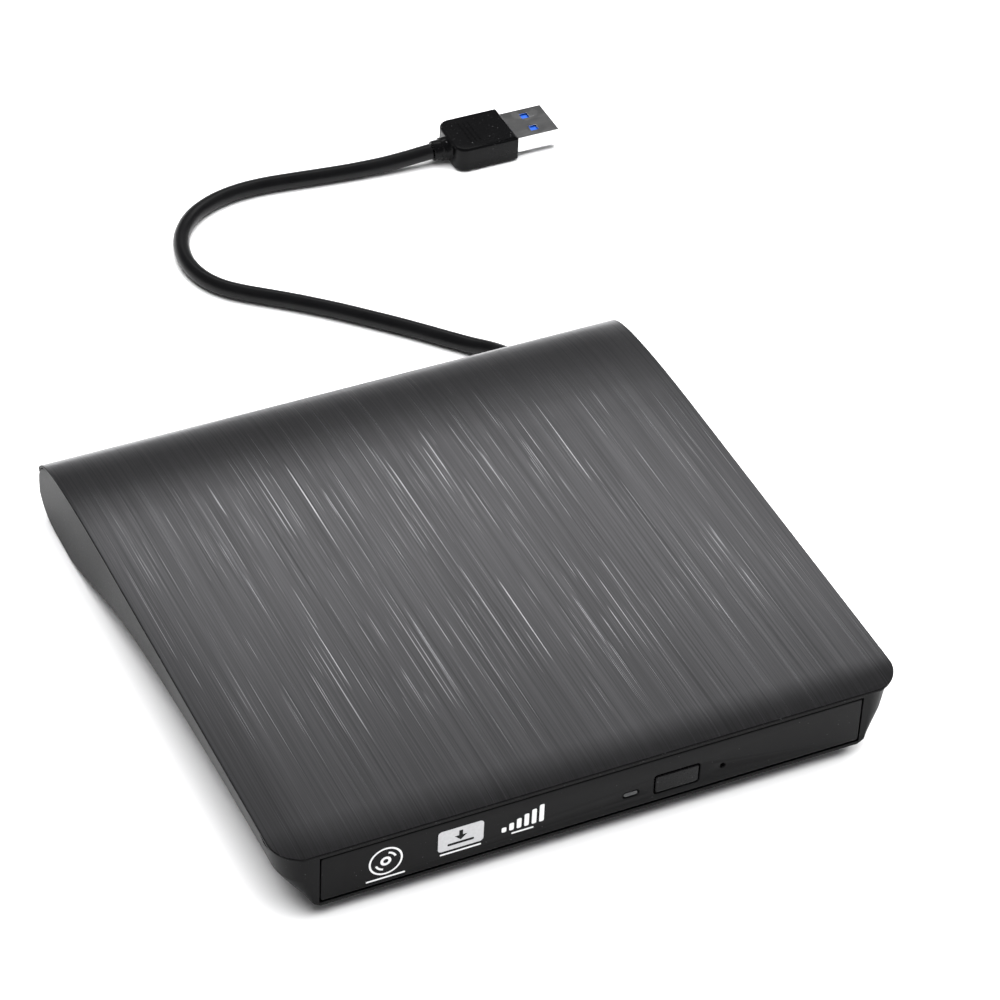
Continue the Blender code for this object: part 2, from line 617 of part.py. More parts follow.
def make_rear_electronics(parts, cutters, mats):
    (from_x, to_x), (low, high) = CONNECTOR_X, CONNECTOR_Z
    box_solid("interface_board", *INTERFACE_BOARD, parts, mats["board"])
    box_solid("drive_connector", (from_x, 49.4, low), (to_x, 56.0, high), parts, mats["chip"])
    upright_rod("catch_pin", *CATCH, CATCH_PIN, parts, mats["bright"], 16)
    box_solid("flex_ribbon", *FLEX_RIBBON, parts, mats["ribbon"])
    box_solid("sata_plug", (from_x, 56.4, low), (to_x, 62.4, high), parts, mats["chip"])
    board = box_solid("bridge_board", *BRIDGE_BOARD, parts, mats["board"])
    for i, (x, y) in enumerate(BOARD_POSTS):
        hole = (SMALL_HOLE_R, BRIDGE_BOARD[0][2] - 1.8, BRIDGE_BOARD[1][2] + 3)
        combine(board, upright_rod("board_hole_%d" % i, x, y, hole, cutters, sides=16))
    box_solid("bridge_chip", *BRIDGE_CHIP, parts, mats["chip"])


# ---------------------------------------------------------------- tray

def make_tray(parts, cutters, mats):
    tray = box_solid("disc_tray", (-TRAY_HALF, TRAY_FRONT, TRAY_PLATE_Z), (TRAY_HALF, TRAY_REAR, TRAY_RIM_Z),
                     parts, mats["tray"])
    skirt = box_solid("tray_skirt", (-SKIRT_HALF, TRAY_FRONT, SKIRT_Z),
                      (SKIRT_HALF, TRAY_REAR, TRAY_PLATE_Z + 0.5), cutters)
    combine(tray, skirt, "UNION")
    inner = SKIRT_HALF - SKIRT_WALL
    under = box_solid("under_tray", (-inner, TRAY_FRONT + SKIRT_WALL, 0),
                      (inner, TRAY_REAR - SKIRT_WALL, TRAY_PLATE_Z), cutters)
    well = upright_rod("disc_well", 0, SPINDLE_Y, (WELL_R, WELL_Z, ABOVE), cutters, sides=72)
    small = upright_rod("small_well", 0, SPINDLE_Y, (SMALL_WELL_R, SMALL_WELL_Z, ABOVE), cutters, sides=60)
    way = traverse_box("pickup_way", *PICKUP_WAY, WAY_Z, cutters)
    ring = upright_rod("spindle_way", 0, SPINDLE_Y, (15.5, *WAY_Z), cutters, sides=32)
    combine(tray, [under, well, small, way, ring])
    front = TRAY_FRONT - 3, TRAY_FRONT + 3
    for name, (x, z, _, _), half_x, half_z in (("stem_way", BUTTON, 2.6, 1.4), ("light_way", LED, 2.2, 1.1)):
        combine(tray, box_solid(name, (x - half_x, front[0], z - half_z), (x + half_x, front[1], z + half_z),
                                cutters))
    x, z, _ = PINHOLE
    combine(tray, rod_solid("pin_way", 1.0, (x, front[0], z), (x, front[1], z), cutters, sides=16))
    combine(tray, box_solid("hook_notch", (CATCH[0] - 8.5, TRAY_REAR - 4, HOOK_Z[0] - 0.4),
                            (CATCH[0] + 5.5, TRAY_REAR + 2, HOOK_Z[1] + 0.4), cutters))


def face_window(name, place, spare, cutters):
    """A cut through the bezel round a rectangle on its face, larger by spare on each side."""
    x, z, width, height = place
    return box_solid(name, (x - width / 2 - spare, FACE_Y - 2, z - height / 2 - spare),
                     (x + width / 2 + spare, FACE_Y + 5, z + height / 2 + spare), cutters)


def make_bezel(parts, cutters, mats):
    bezel = box_solid("front_bezel", (-BEZEL_HALF, FACE_Y, BEZEL_Z[0]),
                      (BEZEL_HALF, FACE_Y + BEZEL_WALL, BEZEL_Z[1]), parts, mats["case"])
    round_edges(bezel, 0.35, 2)
    x, z, radius = PINHOLE
    pinhole = rod_solid("pinhole", radius, (x, FACE_Y - 2, z), (x, FACE_Y + 5, z), cutters, sides=16)
    combine(bezel, [face_window("button_hole", BUTTON, 0.35, cutters),
                    face_window("led_hole", LED, GAP, cutters), pinhole])


def make_front_controls(parts, cutters, mats):
    x, z, width, height = BUTTON
    cap = box_solid("eject_button", (x - width / 2, FACE_Y - BUTTON_PROUD, z - height / 2),
                    (x + width / 2, FACE_Y + BUTTON_DEEP, z + height / 2), parts, mats["case"])
    round_edges(cap, 0.35, 2)
    stem = box_solid("button_stem", (x - 2.0, FACE_Y + 1.0, z - 0.9), (x + 2.0, -69.0, z + 0.9), cutters)
    combine(cap, stem, "UNION")
    box_solid("eject_switch", *EJECT_SWITCH, parts, mats["chip"])
    x, z, width, height = LED
    lens = box_solid("led_lens", (x - width / 2, FACE_Y + 0.1, z - height / 2),
                     (x + width / 2, TRAY_FRONT + 1.6, z + height / 2), parts, mats["led"])
    round_edges(lens, 0.25, 2)


def make_tray_underside(parts, cutters, mats):
    inner, end_gap = SKIRT_HALF - SKIRT_WALL - 0.4, SKIRT_WALL + 0.4
    box_solid("tray_shield", (-inner, TRAY_FRONT + end_gap, SHIELD_Z[0]),
              (inner, TRAY_REAR - end_gap, SHIELD_Z[1]), parts, mats["steel"])
    outline_solid("tray_board", TRAY_BOARD, *TRAY_BOARD_Z, parts, mats["board"])
    outline = [(CATCH[0] + x, CATCH[1] + y) for x, y in HOOK]
    hook = outline_solid("latch_hook", outline, *HOOK_Z, parts, mats["tray"])
    x, y, radius = HOOK_PIVOT
    bore = (radius, HOOK_Z[0] - 3, HOOK_Z[1] + 3)
    combine(hook, upright_rod("hook_bore", CATCH[0] + x, CATCH[1] + y, bore, cutters, sides=16))
    box_solid("latch_solenoid", *SOLENOID, parts, mats["steel"])


# ---------------------------------------------------------------- traverse

def make_traverse(parts, cutters, mats):
    frame = traverse_box("traverse_plate", FRAME_U, FRAME_V, FRAME_Z, parts, mats["steel"])
    for i, (v, radius) in enumerate((MAIN_ROD, SUB_ROD)):
        for j, u in enumerate((ROD_U[0] - 0.6, ROD_U[1] - 2.4)):
            block = traverse_box("rod_block_%d_%d" % (i, j), (u, u + 3.0), (v - 2.0, v + 2.0),
                                 (FRAME_Z[0] + 0.3, ROD_Z + 2.0), cutters)
            combine(frame, block, "UNION")
        way = rod_solid("rod_way_%d" % i, radius + 0.2, traverse_point(ROD_U[0] - 5, v, ROD_Z),
                        traverse_point(ROD_U[1] + 5, v, ROD_Z), cutters, sides=16)
        combine(frame, way)
    window = traverse_box("pickup_window", (11.2, 63.0), (-8.6, 8.2), (5.0, 9.0), cutters)
    motor = upright_rod("motor_way", 0, SPINDLE_Y, (MOTOR_R + 0.4, 5, 9), cutters, sides=32)
    (from_u, to_u), (from_v, to_v), _ = STEPPER
    stepper = traverse_box("stepper_way", (from_u - 0.4, to_u + 0.4), (from_v - 0.4, to_v + 1.7), (5.0, 14.0),
                           cutters)
    combine(frame, [window, motor, stepper])
    for i, (u, v) in enumerate(DAMPERS):
        x, y = traverse_point(u, v)
        profile = [(0.0, 10.6), (2.6, 10.6), (2.1, 9.8), (2.1, 9.0), (2.6, 8.2), (0.0, 8.2)]
        turned_solid("damper_%d" % (i + 1), profile, (x, y, 0), parts, mats["rubber"], 16)


def make_spindle(parts, mats):
    stator = [(0.0, 9.6), (MOTOR_R - 0.6, 9.6), (MOTOR_R, 9.0), (MOTOR_R, 6.8), (0.0, 6.8)]
    turned_solid("spindle_motor", stator, (0, SPINDLE_Y, 0), parts, mats["steel"], 32)
    rotor = [(0.0, 15.7), (5.2, 15.7), (6.8, 15.2), (HUB_R, 14.3), (HUB_R, 13.0), (14.0, 13.0), (14.0, 12.3),
             (10.4, 12.3), (10.4, 9.9), (0.0, 9.9)]
    turned_solid("turntable_hub", rotor, (0, SPINDLE_Y, 0), parts, mats["tray"], 32)


def make_rods(parts, mats):
    for name, (v, radius), z, ends in (("guide_rod_main", MAIN_ROD, ROD_Z, ROD_U),
                                       ("guide_rod_sub", SUB_ROD, ROD_Z, ROD_U),
                                       ("lead_screw", SCREW_ROD, SCREW_Z, (14.0, 55.2))):
        rod_solid(name, radius, traverse_point(ends[0], v, z), traverse_point(ends[1], v, z), parts,
                  mats["bright"], 16)
    stepper = traverse_box("stepper_motor", *STEPPER, parts, mats["steel"])
    round_edges(stepper, 1.2, 2)


def make_pickup(parts, cutters, mats):
    body = traverse_box("pickup_body", (12.0, 30.0), (-8.0, 7.6), (7.2, 11.6), parts, mats["steel"])
    bearing = traverse_box("pickup_bearing", (13.0, 24.0), (6.0, 13.0), (8.2, 11.9), cutters)
    arm = traverse_box("pickup_arm", (14.0, 20.0), (12.0, 14.5), (8.2, 10.5), cutters)
    fork = traverse_box("pickup_fork", (15.0, 22.0), (-13.2, -7.0), (8.2, 11.6), cutters)
    combine(body, [bearing, arm, fork], "UNION")
    for i, (v, radius) in enumerate((MAIN_ROD, SUB_ROD)):
        combine(body, rod_solid("pickup_bore_%d" % i, radius + 0.15, traverse_point(5, v, ROD_Z),
                                traverse_point(35, v, ROD_Z), cutters, sides=16))
    pocket = traverse_box("lens_pocket", (LENS_U - 5.2, LENS_U + 4.6), (-4.4, 4.4), (10.1, 14.0), cutters)
    combine(body, pocket)
    x, y = traverse_point(LENS_U, 0)
    holder = traverse_box("lens_holder", (LENS_U - 4.6, LENS_U + 4.0), (-3.9, 3.9), (10.8, 12.0), parts,
                          mats["tray"])
    combine(holder, upright_rod("lens_bore", x, y, (LENS_BORE_R, 10, 14), cutters))
    lens = [(0.0, 12.25), (0.9, 12.15), (1.6, 11.85), (2.0, 11.5), (2.0, 11.1), (0.0, 11.1)]
    turned_solid("objective_lens", lens, (x, y, 0), parts, mats["lens"], 20)


# ---------------------------------------------------------------- lead

def make_strain_relief(parts, mats):
    exit_x, exit_y, exit_z = CORD_ROUTE[0]
    tip_y, (tip_r, wall_r), (collar_r, collar_from, collar_to) = exit_y - 0.4, RELIEF_R, RELIEF_COLLAR
    relief = [(0.0, tip_y), (tip_r, tip_y), (wall_r, RELIEF_TAPER_Y), (wall_r, collar_to),
              (collar_r, collar_to), (collar_r, collar_from), (0.0, collar_from)]
    turned_solid("strain_relief", relief, (exit_x, 0, exit_z), parts, mats["rubber"], 20, axis="Y")


def make_cable(parts, mats):
    curve = bpy.data.curves.new("usb_cable", "CURVE")
    curve.dimensions = "3D"
    curve.bevel_depth = CORD_D / 2 * MM
    curve.bevel_resolution = 2
    curve.use_fill_caps = True
    spline = curve.splines.new("POLY")
    spline.points.add(CORD_POINTS - 1)
    for point, place in zip(spline.points, even_line(smooth_line(CORD_ROUTE, 8), CORD_POINTS)):
        point.co = (*(place * MM), 1.0)
    curve.materials.append(mats["rubber"])
    parts.objects.link(bpy.data.objects.new("usb_cable", curve))


def make_plug(parts, cutters, mats):
    y, z = PLUG_MID
    width, height = PLUG_SIZE
    plug = box_solid("plug_overmold", (PLUG_X[0], y - width / 2, z - height / 2),
                     (PLUG_X[1], y + width / 2, z + height / 2), parts, mats["rubber"])
    round_edges(plug, 1.3, 2)
    neck = rod_solid("plug_neck", PLUG_NECK[0], (PLUG_NECK[1], y, z), (PLUG_X[0] + 1, y, z), cutters)
    combine(plug, neck, "UNION")
    wide, high, length = SHELL
    seat = box_solid("shell_seat", (PLUG_X[1] - 4, y - wide / 2 - GAP, z - high / 2 - GAP),
                     (PLUG_X[1] + 5, y + wide / 2 + GAP, z + high / 2 + GAP), cutters)
    combine(plug, seat)
    back, front = PLUG_X[1] - 3.6, PLUG_X[1] + length
    shell = box_solid("plug_shell", (back, y - wide / 2, z - high / 2), (front, y + wide / 2, z + high / 2),
                      parts, mats["bright"])
    inner_y, inner_z = wide / 2 - SHELL_WALL, high / 2 - SHELL_WALL
    combine(shell, box_solid("shell_space", (back + 1, y - inner_y, z - inner_z),
                             (front + 5, y + inner_y, z + inner_z), cutters))
    box_solid("plug_tongue", (back + 1 + GAP, y - inner_y + GAP, z - 0.1),
              (front - 0.6, y + inner_y - GAP, z + inner_z - GAP), parts, mats["insert"])


def main():
    clear_scene()
    parts = make_collection(COLLECTION)
    cutters = make_collection("cutters", hidden=True)
    mats = make_materials()
    make_cover(parts, cutters, mats)
    make_base(parts, cutters, mats)
    make_feet(parts, mats)
    make_case_screws(parts, mats)
    make_chassis(parts, cutters, mats)
    make_lid(parts, cutters, mats)
    make_rails(parts, cutters, mats)
    make_rear_electronics(parts, cutters, mats)
    make_tray(parts, cutters, mats)
    make_bezel(parts, cutters, mats)
    make_front_controls(parts, cutters, mats)
    make_tray_underside(parts, cutters, mats)
    make_traverse(parts, cutters, mats)
    make_spindle(parts, mats)
    make_rods(parts, mats)
    make_pickup(parts, cutters, mats)
    make_strain_relief(parts, mats)
    make_cable(parts, mats)
    make_plug(parts, cutters, mats)


main()
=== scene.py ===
"""Looks of the external optical drive: a brushed cover on a satin case, a tray behind its front panel,
and a short captive lead with its plug.

Sizes are in millimetres, worked out from the frame's boxes where it holds them, and become metres in
add_mesh. The lead's route and the places of the lights and the camera are in metres.
"""

from math import cos, hypot, pi, radians, sin, sqrt

import bmesh
import bpy
from mathutils import Matrix, Vector


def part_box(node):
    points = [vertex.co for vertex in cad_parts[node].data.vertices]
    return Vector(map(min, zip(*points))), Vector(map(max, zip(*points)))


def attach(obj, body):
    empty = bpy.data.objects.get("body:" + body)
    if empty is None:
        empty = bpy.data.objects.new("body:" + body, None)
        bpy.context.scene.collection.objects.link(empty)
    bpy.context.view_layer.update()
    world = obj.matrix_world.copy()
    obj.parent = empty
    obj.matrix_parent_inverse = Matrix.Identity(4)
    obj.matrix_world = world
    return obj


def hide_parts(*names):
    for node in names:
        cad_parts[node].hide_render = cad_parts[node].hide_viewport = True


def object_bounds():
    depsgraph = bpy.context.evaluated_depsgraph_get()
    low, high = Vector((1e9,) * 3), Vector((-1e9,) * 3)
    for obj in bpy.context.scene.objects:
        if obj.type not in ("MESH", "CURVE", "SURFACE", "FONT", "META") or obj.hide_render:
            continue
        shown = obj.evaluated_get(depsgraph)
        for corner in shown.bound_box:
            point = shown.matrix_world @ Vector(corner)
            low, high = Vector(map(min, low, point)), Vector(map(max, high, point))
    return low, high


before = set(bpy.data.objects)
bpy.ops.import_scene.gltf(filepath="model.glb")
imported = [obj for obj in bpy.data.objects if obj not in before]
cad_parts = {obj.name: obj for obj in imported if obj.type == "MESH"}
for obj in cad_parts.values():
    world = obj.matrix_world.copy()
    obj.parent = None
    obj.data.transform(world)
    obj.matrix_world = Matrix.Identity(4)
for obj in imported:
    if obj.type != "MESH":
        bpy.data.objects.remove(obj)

CAD_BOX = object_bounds()
MM = 0.001
MATERIALS = {}
SMOOTH_ANGLE = 32.0      # a sharper edge stays an edge
WELD_GAP = 0.0005
CAD_WELD = 0.002
FLOOR_R, FLOOR_AT = 6000, -0.05
ABOVE, BELOW = 30.0, -2.0    # past the top and the underside of every piece, for cutters

# Case
LIP_RUN = 10.0           # length over which the cover thickens behind its front edge
LIP_EDGE = 0.6           # thickness at the front edge
COVER_WALL = 1.5
COVER_ROUND = 0.45       # radius along the cover's outer edges
COVER_CORNERS = (7.0, 3.0)
PARTING_Z = 8.6          # round the back, the cover ends and the base begins here
FLOOR_Z = 3.0            # underside of the flat part of the base
HUMP_Z = 0.4             # underside of the rear hump
HUMP_RISE = [(54.0, HUMP_Z), (50.5, 0.8), (45.0, 2.3), (40.0, FLOOR_Z)]
BASE_CORNERS = (8.0, 2.5)
BAY_HALF = 64.45         # the drive's bay and the tray's way out
GROOVE = (Vector((-69.6, 60.5, -3.0)), Vector((69.6, 65.1, 4.9)))
FEET = ("foot_front_left", "foot_front_right", "foot_rear_left", "foot_rear_right")
CASE_SCREWS = ("case_screw_1", "case_screw_2")
BASE_ROUND = 0.7         # least radius along the base's lower side edges
FRONT_ROUND = 0.6        # radius between the base's front face and its underside
NOSE = 0.15              # radius along the inner side of the cover's front edge
GAP = 0.3

# Base, inside: the drive's bay, the pocket over it, the one behind it, and the lead's way out
BAY_FLOOR = 1.2
BAY_ROOM = (0.7, 0.9)    # behind the drive and above it
POCKET_WALL, POCKET_FRONT, POCKET_Z, POCKET_END = 3.1, 5.2, 13.2, 58.0
REAR_POCKET_WALL, REAR_POCKET_Y = 1.5, (55.6, 70.6)
GROOVE_ROOF = 0.9
LEAD_HOLE_R, LEAD_HOLE_Y = 3.2, (66.4, 80.0)
RELIEF_SEAT = 1.3        # depth of the strain relief's seat
SCREW_WAY_Z, SCREW_SEAT = 3.0, 1.6

# Rear roll, from the flat top round the back to the hump's underside: (y, z)
REAR_ROLL = [(31.5, 20.0), (43.5, 19.75), (54.5, 19.1), (63.5, 18.0), (69.5, 16.2), (73.1, 13.2), (74.5, 9.6),
             (73.9, 6.0), (71.5, 3.0), (67.9, 1.1), (63.5, HUMP_Z)]

# Undercut of the base's lower side edges: (y, width at the floor, height, draft of the side above it)
UNDERCUT = [(-85, 9.9, 8.6, 1.7), (-40, 9.7, 8.4, 1.6), (-20, 9.2, 7.9, 1.4), (0, 8.3, 7.1, 1.1),
            (15, 6.9, 6.0, 0.8), (25, 5.4, 4.8, 0.5), (33, 3.5, 3.2, 0.2), (41, 1.4, 1.3, 0.0),
            (46, 0.3, 0.2, 0.0)]
UNDERCUT_POWER = 1.15    # 1 is a straight chamfer, 2 an ellipse

# Along its sides the cover is only a thin rim, and the base's side walls rise under it
RIM_WALL = 0.7
RIM_WIDTH = 1.6
SIDE_WALL = 1.2
EDGE_FACING = 0.6        # a face of the cover that looks this far sideways, forwards or down is painted near-black, as painted shade

# Front panel: the pinhole's x, z and radius, and its openings' corners and play
PINHOLE = (30.3, 9.3, 0.65)
PANEL_CORNER, OPENING_CORNER = 0.6, 0.8
BUTTON_PLAY, WINDOW_PLAY = 0.7, 0.5
CAP_DEPTH = 1.4          # of the button's cap, in front of its stem
STEM_HALF, STEM_START = (2.0, 0.9), 0.9

# Printed marks: the middles of the disc and of the framed tray, and the foot of the bars, as (x, z)
DISC_MARK, TRAY_MARK, BARS_MARK = (-49.4, 10.9), (-32.1, 11.5), (-17.6, 8.9)
INK = 0.02               # thickness each side of the panel's face

# Tray: each well's radius and floor
TRAY_PLATE_Z = 10.9      # underside of its plate
WELL = (60.6, 12.4)
SMALL_WELL = (40.6, 11.8)
SKIRT_HALF, SKIRT_WALL = 59.4, 1.5
SCOOP_R, SCOOP_AT = 11.0, 43.5   # finger scoops, this far from the spindle each way
WAY_Z = (9.0, 12.9)      # cut through the plate for the pickup and the turntable
TURNTABLE_WAY_R = 15.5
NOTCH_ROOM = (2.0, 0.4)  # round the latch hook, sideways and up and down

# Traverse: turned about the spindle, with u outwards along the pickup's way and v across it
TRAVERSE_TURN = -50.0
WINDOW_U = (-15.5, 63.2)
WINDOW_V = 13.4
SCREW_U = (14.0, 55.2)
SCREW_V = 16.1
SCREW_Z = 9.3
SCREW_R = 1.2
THREAD_DEPTH, THREAD_PITCH = 0.28, 3.0
PLAIN_END, THREAD_FADE = 1.5, 0.6

# Turntable: the disc seat's height, its neck's radius and the directions of its jaws
SEAT_Z = 13.0
NECK_R = 10.4
JAW_TURNS = (90, 210, 330)

# Screws: name, which way the head faces, its height and the shank's radius
SCREWS = [("case_screw_1", -1, 1.3, 1.15), ("case_screw_2", -1, 1.3, 1.15), ("board_screw_1", 1, 1.1, 0.8),
          ("board_screw_2", 1, 1.1, 0.8)] + [("lid_screw_%d" % i, 1, 0.5, 0.65) for i in (1, 2, 3, 4)]

# Plug: where its body begins behind its collar, its corners, its shell's wall and the shell's holes
PLUG_BACK_X = 72.6
PLUG_FRONT_CORNER, PLUG_BACK_CORNER = 0.5, 3.2
SHELL_WALL = 0.3
SHELL_HOLE_X = (5.2, 7.4)    # in front of the body
SHELL_HOLE_Y, SHELL_HOLE_HALF = 2.9, 1.1

# Lead: its route on the table, in metres
CORD_D = 0.0042
LIES_AT = 0.00215        # height of its middle where it lies on the table
CORD_ROUTE = [
    (0.0502, 0.0768, 0.0052), (0.0500, 0.0790, 0.00495), (0.0493, 0.0814, 0.0044),
    (0.0483, 0.0839, 0.0037), (0.0468, 0.0866, 0.0030), (0.0448, 0.0894, 0.0024),
    (0.0423, 0.0923, 0.00217),
    *((x, y, LIES_AT) for x, y in (
        (0.0393, 0.0955), (0.0352, 0.0999), (0.0306, 0.1046), (0.0258, 0.1093), (0.0210, 0.1139),
        (0.0161, 0.1183), (0.0110, 0.1226), (0.0058, 0.1267), (0.0008, 0.1306), (-0.0035, 0.1348),
        (-0.0065, 0.1399), (-0.0079, 0.1461), (-0.0073, 0.1529), (-0.0045, 0.1598), (0.0007, 0.1657),
        (0.0074, 0.1694), (0.0148, 0.1712), (0.0224, 0.1714), (0.0304, 0.1706), (0.0384, 0.1696))),
    (0.0464, 0.1687, 0.0022), (0.0540, 0.1680, 0.00245), (0.0602, 0.1675, 0.0030),
    (0.0648, 0.16725, 0.0035), (0.0679, 0.1672, 0.0037),
]

# Camera: focal length in mm, place in metres, and azimuth, elevation and roll in degrees
SENSOR, FOCAL_LENGTH = 36.0, 144.56
CAMERA_AT = (-0.29615, -0.61550, 0.61350)
CAMERA_TURN = (-26.442, 40.155, 2.748)

# Surroundings' tone at some heights of the direction: (height, tone)
SKY_TONES = [(0.0, 0.93), (0.10, 0.80), (0.40, 0.12), (1.0, 0.115)]


# ---- helpers

def node_box(node):
    """A CAD node's lowest and highest corners and its middle, in millimetres."""
    low, high = (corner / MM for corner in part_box(node))
    return low, high, (low + high) / 2


def smooth_line(points, steps):
    """A Catmull-Rom curve through points of any dimension, with steps points to each span."""
    points = [Vector(p) for p in points]
    ends = [2 * points[0] - points[1]] + points + [2 * points[-1] - points[-2]]
    line = []
    for a, b, c, d in zip(ends, ends[1:], ends[2:], ends[3:]):
        for i in range(steps):
            t = i / steps
            line.append(0.5 * (2 * b + (c - a) * t + (2 * a - 5 * b + 4 * c - d) * t * t
                               + (3 * b - a - 3 * c + d) * t ** 3))
    return line + [points[-1]]


def offset_line(points, distance):
    """An open line of (y, z) moved to its right by distance."""
    moved = []
    for i, p in enumerate(points):
        before, after = points[max(i - 1, 0)], points[min(i + 1, len(points) - 1)]
        dy, dz = after[0] - before[0], after[1] - before[1]
        length = hypot(dy, dz)
        moved.append((p[0] + dz / length * distance, p[1] - dy / length * distance))
    return moved


def between(table, at):
    """The row of a table at a place between its rows, by straight interpolation on the first column."""
    if at <= table[0][0]:
        return table[0][1:]
    for a, b in zip(table, table[1:]):
        if at <= b[0]:
            t = (at - a[0]) / (b[0] - a[0])
            return tuple(p + (q - p) * t for p, q in zip(a[1:], b[1:]))
    return table[-1][1:]


def add_object(name, data):
    """An object in the scene for some data."""
    obj = bpy.data.objects.new(name, data)
    bpy.context.scene.collection.objects.link(obj)
    return obj


def add_mesh(name, bm, mat, smooth_angle=SMOOTH_ANGLE):
    """A mesh object from a bmesh in millimetres, shaded smooth below an angle."""
    bmesh.ops.remove_doubles(bm, verts=bm.verts, dist=WELD_GAP)
    bmesh.ops.recalc_face_normals(bm, faces=bm.faces)
    bmesh.ops.scale(bm, vec=(MM, MM, MM), verts=bm.verts)
    mesh = bpy.data.meshes.new(name)
    bm.to_mesh(mesh)
    bm.free()
    mesh.shade_smooth()
    mesh.set_sharp_from_angle(angle=radians(smooth_angle))
    mesh.materials.append(MATERIALS[mat])
    return add_object(name, mesh)


def place(obj, body, slot, *nodes):
    """The piece rides on a body and stands for the CAD nodes, which are hidden; slot is not used."""
    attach(obj, body)
    if nodes:
        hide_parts(*nodes)
    return obj


def loft(bm, rings, close_start=True, close_end=True):
    """Rings with the same number of points joined in order."""
    made = [[bm.verts.new(point) for point in ring] for ring in rings]
    count = len(rings[0])
    for first, second in zip(made, made[1:]):
        for i in range(count):
            bm.faces.new((first[i], first[(i + 1) % count], second[(i + 1) % count], second[i]))
    if close_start:
        bm.faces.new(made[0])
    if close_end:
        bm.faces.new(list(reversed(made[-1])))


def box(bm, low, high):
    """A box between two corners."""
    low, high = Vector(low), Vector(high)
    made = bmesh.ops.create_cube(bm, size=1.0)["verts"]
    bmesh.ops.scale(bm, vec=high - low, verts=made)
    bmesh.ops.translate(bm, vec=(low + high) / 2, verts=made)
    return made


def rod(bm, radius, start, end, sides=48):
    """A cylinder from start to end."""
    start, end = Vector(start), Vector(end)
    made = bmesh.ops.create_cone(bm, cap_ends=True, segments=sides, radius1=radius, radius2=radius,
                                 depth=(end - start).length)["verts"]
    turn = (end - start).to_track_quat("Z", "Y").to_matrix().to_4x4()
    bmesh.ops.transform(bm, matrix=Matrix.Translation((start + end) / 2) @ turn, verts=made)


def turned(bm, profile, sides, matrix):
    """A profile of (radius, height) turned about Z, then placed by a matrix."""
    turns = [2 * pi * i / sides for i in range(sides)]
    rings = [[matrix @ Vector((r * cos(a), r * sin(a), h)) for a in turns] for r, h in profile]
    loft(bm, rings, profile[0][0] > 0, profile[-1][0] > 0)


def rounded(width, height, radius, middle=(0.0, 0.0), steps=6):
    """The outline of a rectangle with round corners."""
    corners = [(1, -1, -90), (1, 1, 0), (-1, 1, 90), (-1, -1, 180)]
    return [(middle[0] + sx * (width / 2 - radius) + radius * cos(radians(a + 90 * i / steps)),
             middle[1] + sz * (height / 2 - radius) + radius * sin(radians(a + 90 * i / steps)))
            for sx, sz, a in corners for i in range(steps + 1)]


def circle(radius, middle=(0.0, 0.0), steps=48):
    """The outline of a circle."""
    return [(middle[0] + radius * cos(2 * pi * i / steps), middle[1] + radius * sin(2 * pi * i / steps))
            for i in range(steps)]


PLANES = {
    "XY": Matrix.Identity(4),
    # outline (x, z), thick towards -Y
    "XZ": Matrix(((1, 0, 0, 0), (0, 0, -1, 0), (0, 1, 0, 0), (0, 0, 0, 1))),
}


def plate(name, outlines, low, high, mat, bevel=0.0, plane="XY", segments=3):
    """Flat outlines, holes among them, filled from low to high across their plane, with rounded edges."""
    curve = bpy.data.curves.new(name, "CURVE")
    curve.dimensions = "2D"
    curve.fill_mode = "BOTH"
    curve.extrude = ((high - low) / 2 - bevel) * MM
    curve.bevel_depth = bevel * MM
    curve.offset = -bevel * MM
    curve.bevel_resolution = segments - 1
    for outline in outlines:
        spline = curve.splines.new("POLY")
        spline.points.add(len(outline) - 1)
        for point, (a, b) in zip(spline.points, outline):
            point.co = (a * MM, b * MM, 0.0, 1.0)
        spline.use_cyclic_u = True
    guide = add_object(name + "_outline", curve)
    mesh = evaluated_mesh(guide)
    bm = bmesh.new()
    bm.from_mesh(mesh)
    bpy.data.meshes.remove(mesh)
    bpy.data.objects.remove(guide, do_unlink=True)
    bmesh.ops.scale(bm, vec=(1 / MM, 1 / MM, 1 / MM), verts=bm.verts)
    middle = -(high + low) / 2 if plane == "XZ" else (high + low) / 2
    bmesh.ops.transform(bm, matrix=PLANES[plane] @ Matrix.Translation((0, 0, middle)), verts=bm.verts)
    return add_mesh(name, bm, mat)


def cut(obj, cutters, operation="DIFFERENCE"):
    """Applies a Boolean with each cutter, which is then removed."""
    for tool in cutters:
        modifier = obj.modifiers.new("cut", "BOOLEAN")
        modifier.operation = operation
        modifier.solver = "EXACT"
        modifier.object = tool
    mesh = evaluated_mesh(obj)
    obj.modifiers.clear()
    obj.data = mesh
    for tool in cutters:
        bpy.data.objects.remove(tool, do_unlink=True)
    return obj


def evaluated_mesh(obj):
    """A new mesh of the object as its modifiers leave it."""
    bpy.context.view_layer.update()
    return bpy.data.meshes.new_from_object(obj.evaluated_get(bpy.context.evaluated_depsgraph_get()))


def shaped(name, mat, build, *args, angle=SMOOTH_ANGLE):
    """A mesh object that a helper builds."""
    bm = bmesh.new()
    build(bm, *args)
    return add_mesh(name, bm, mat, angle)


def cutter(build, *args):
    """A plain mesh object that a helper builds, to cut with."""
    return shaped("cutter", "black_shell", build, *args)


def upright_cutter(radius, at, low, high, sides=48):
    """A cylinder along Z between two heights, to cut with."""
    return cutter(rod, radius, (at.x, at.y, low), (at.x, at.y, high), sides)


def upright(at):
    """To a place on the table plane, upright."""
    return Matrix.Translation((at.x, at.y, 0.0))


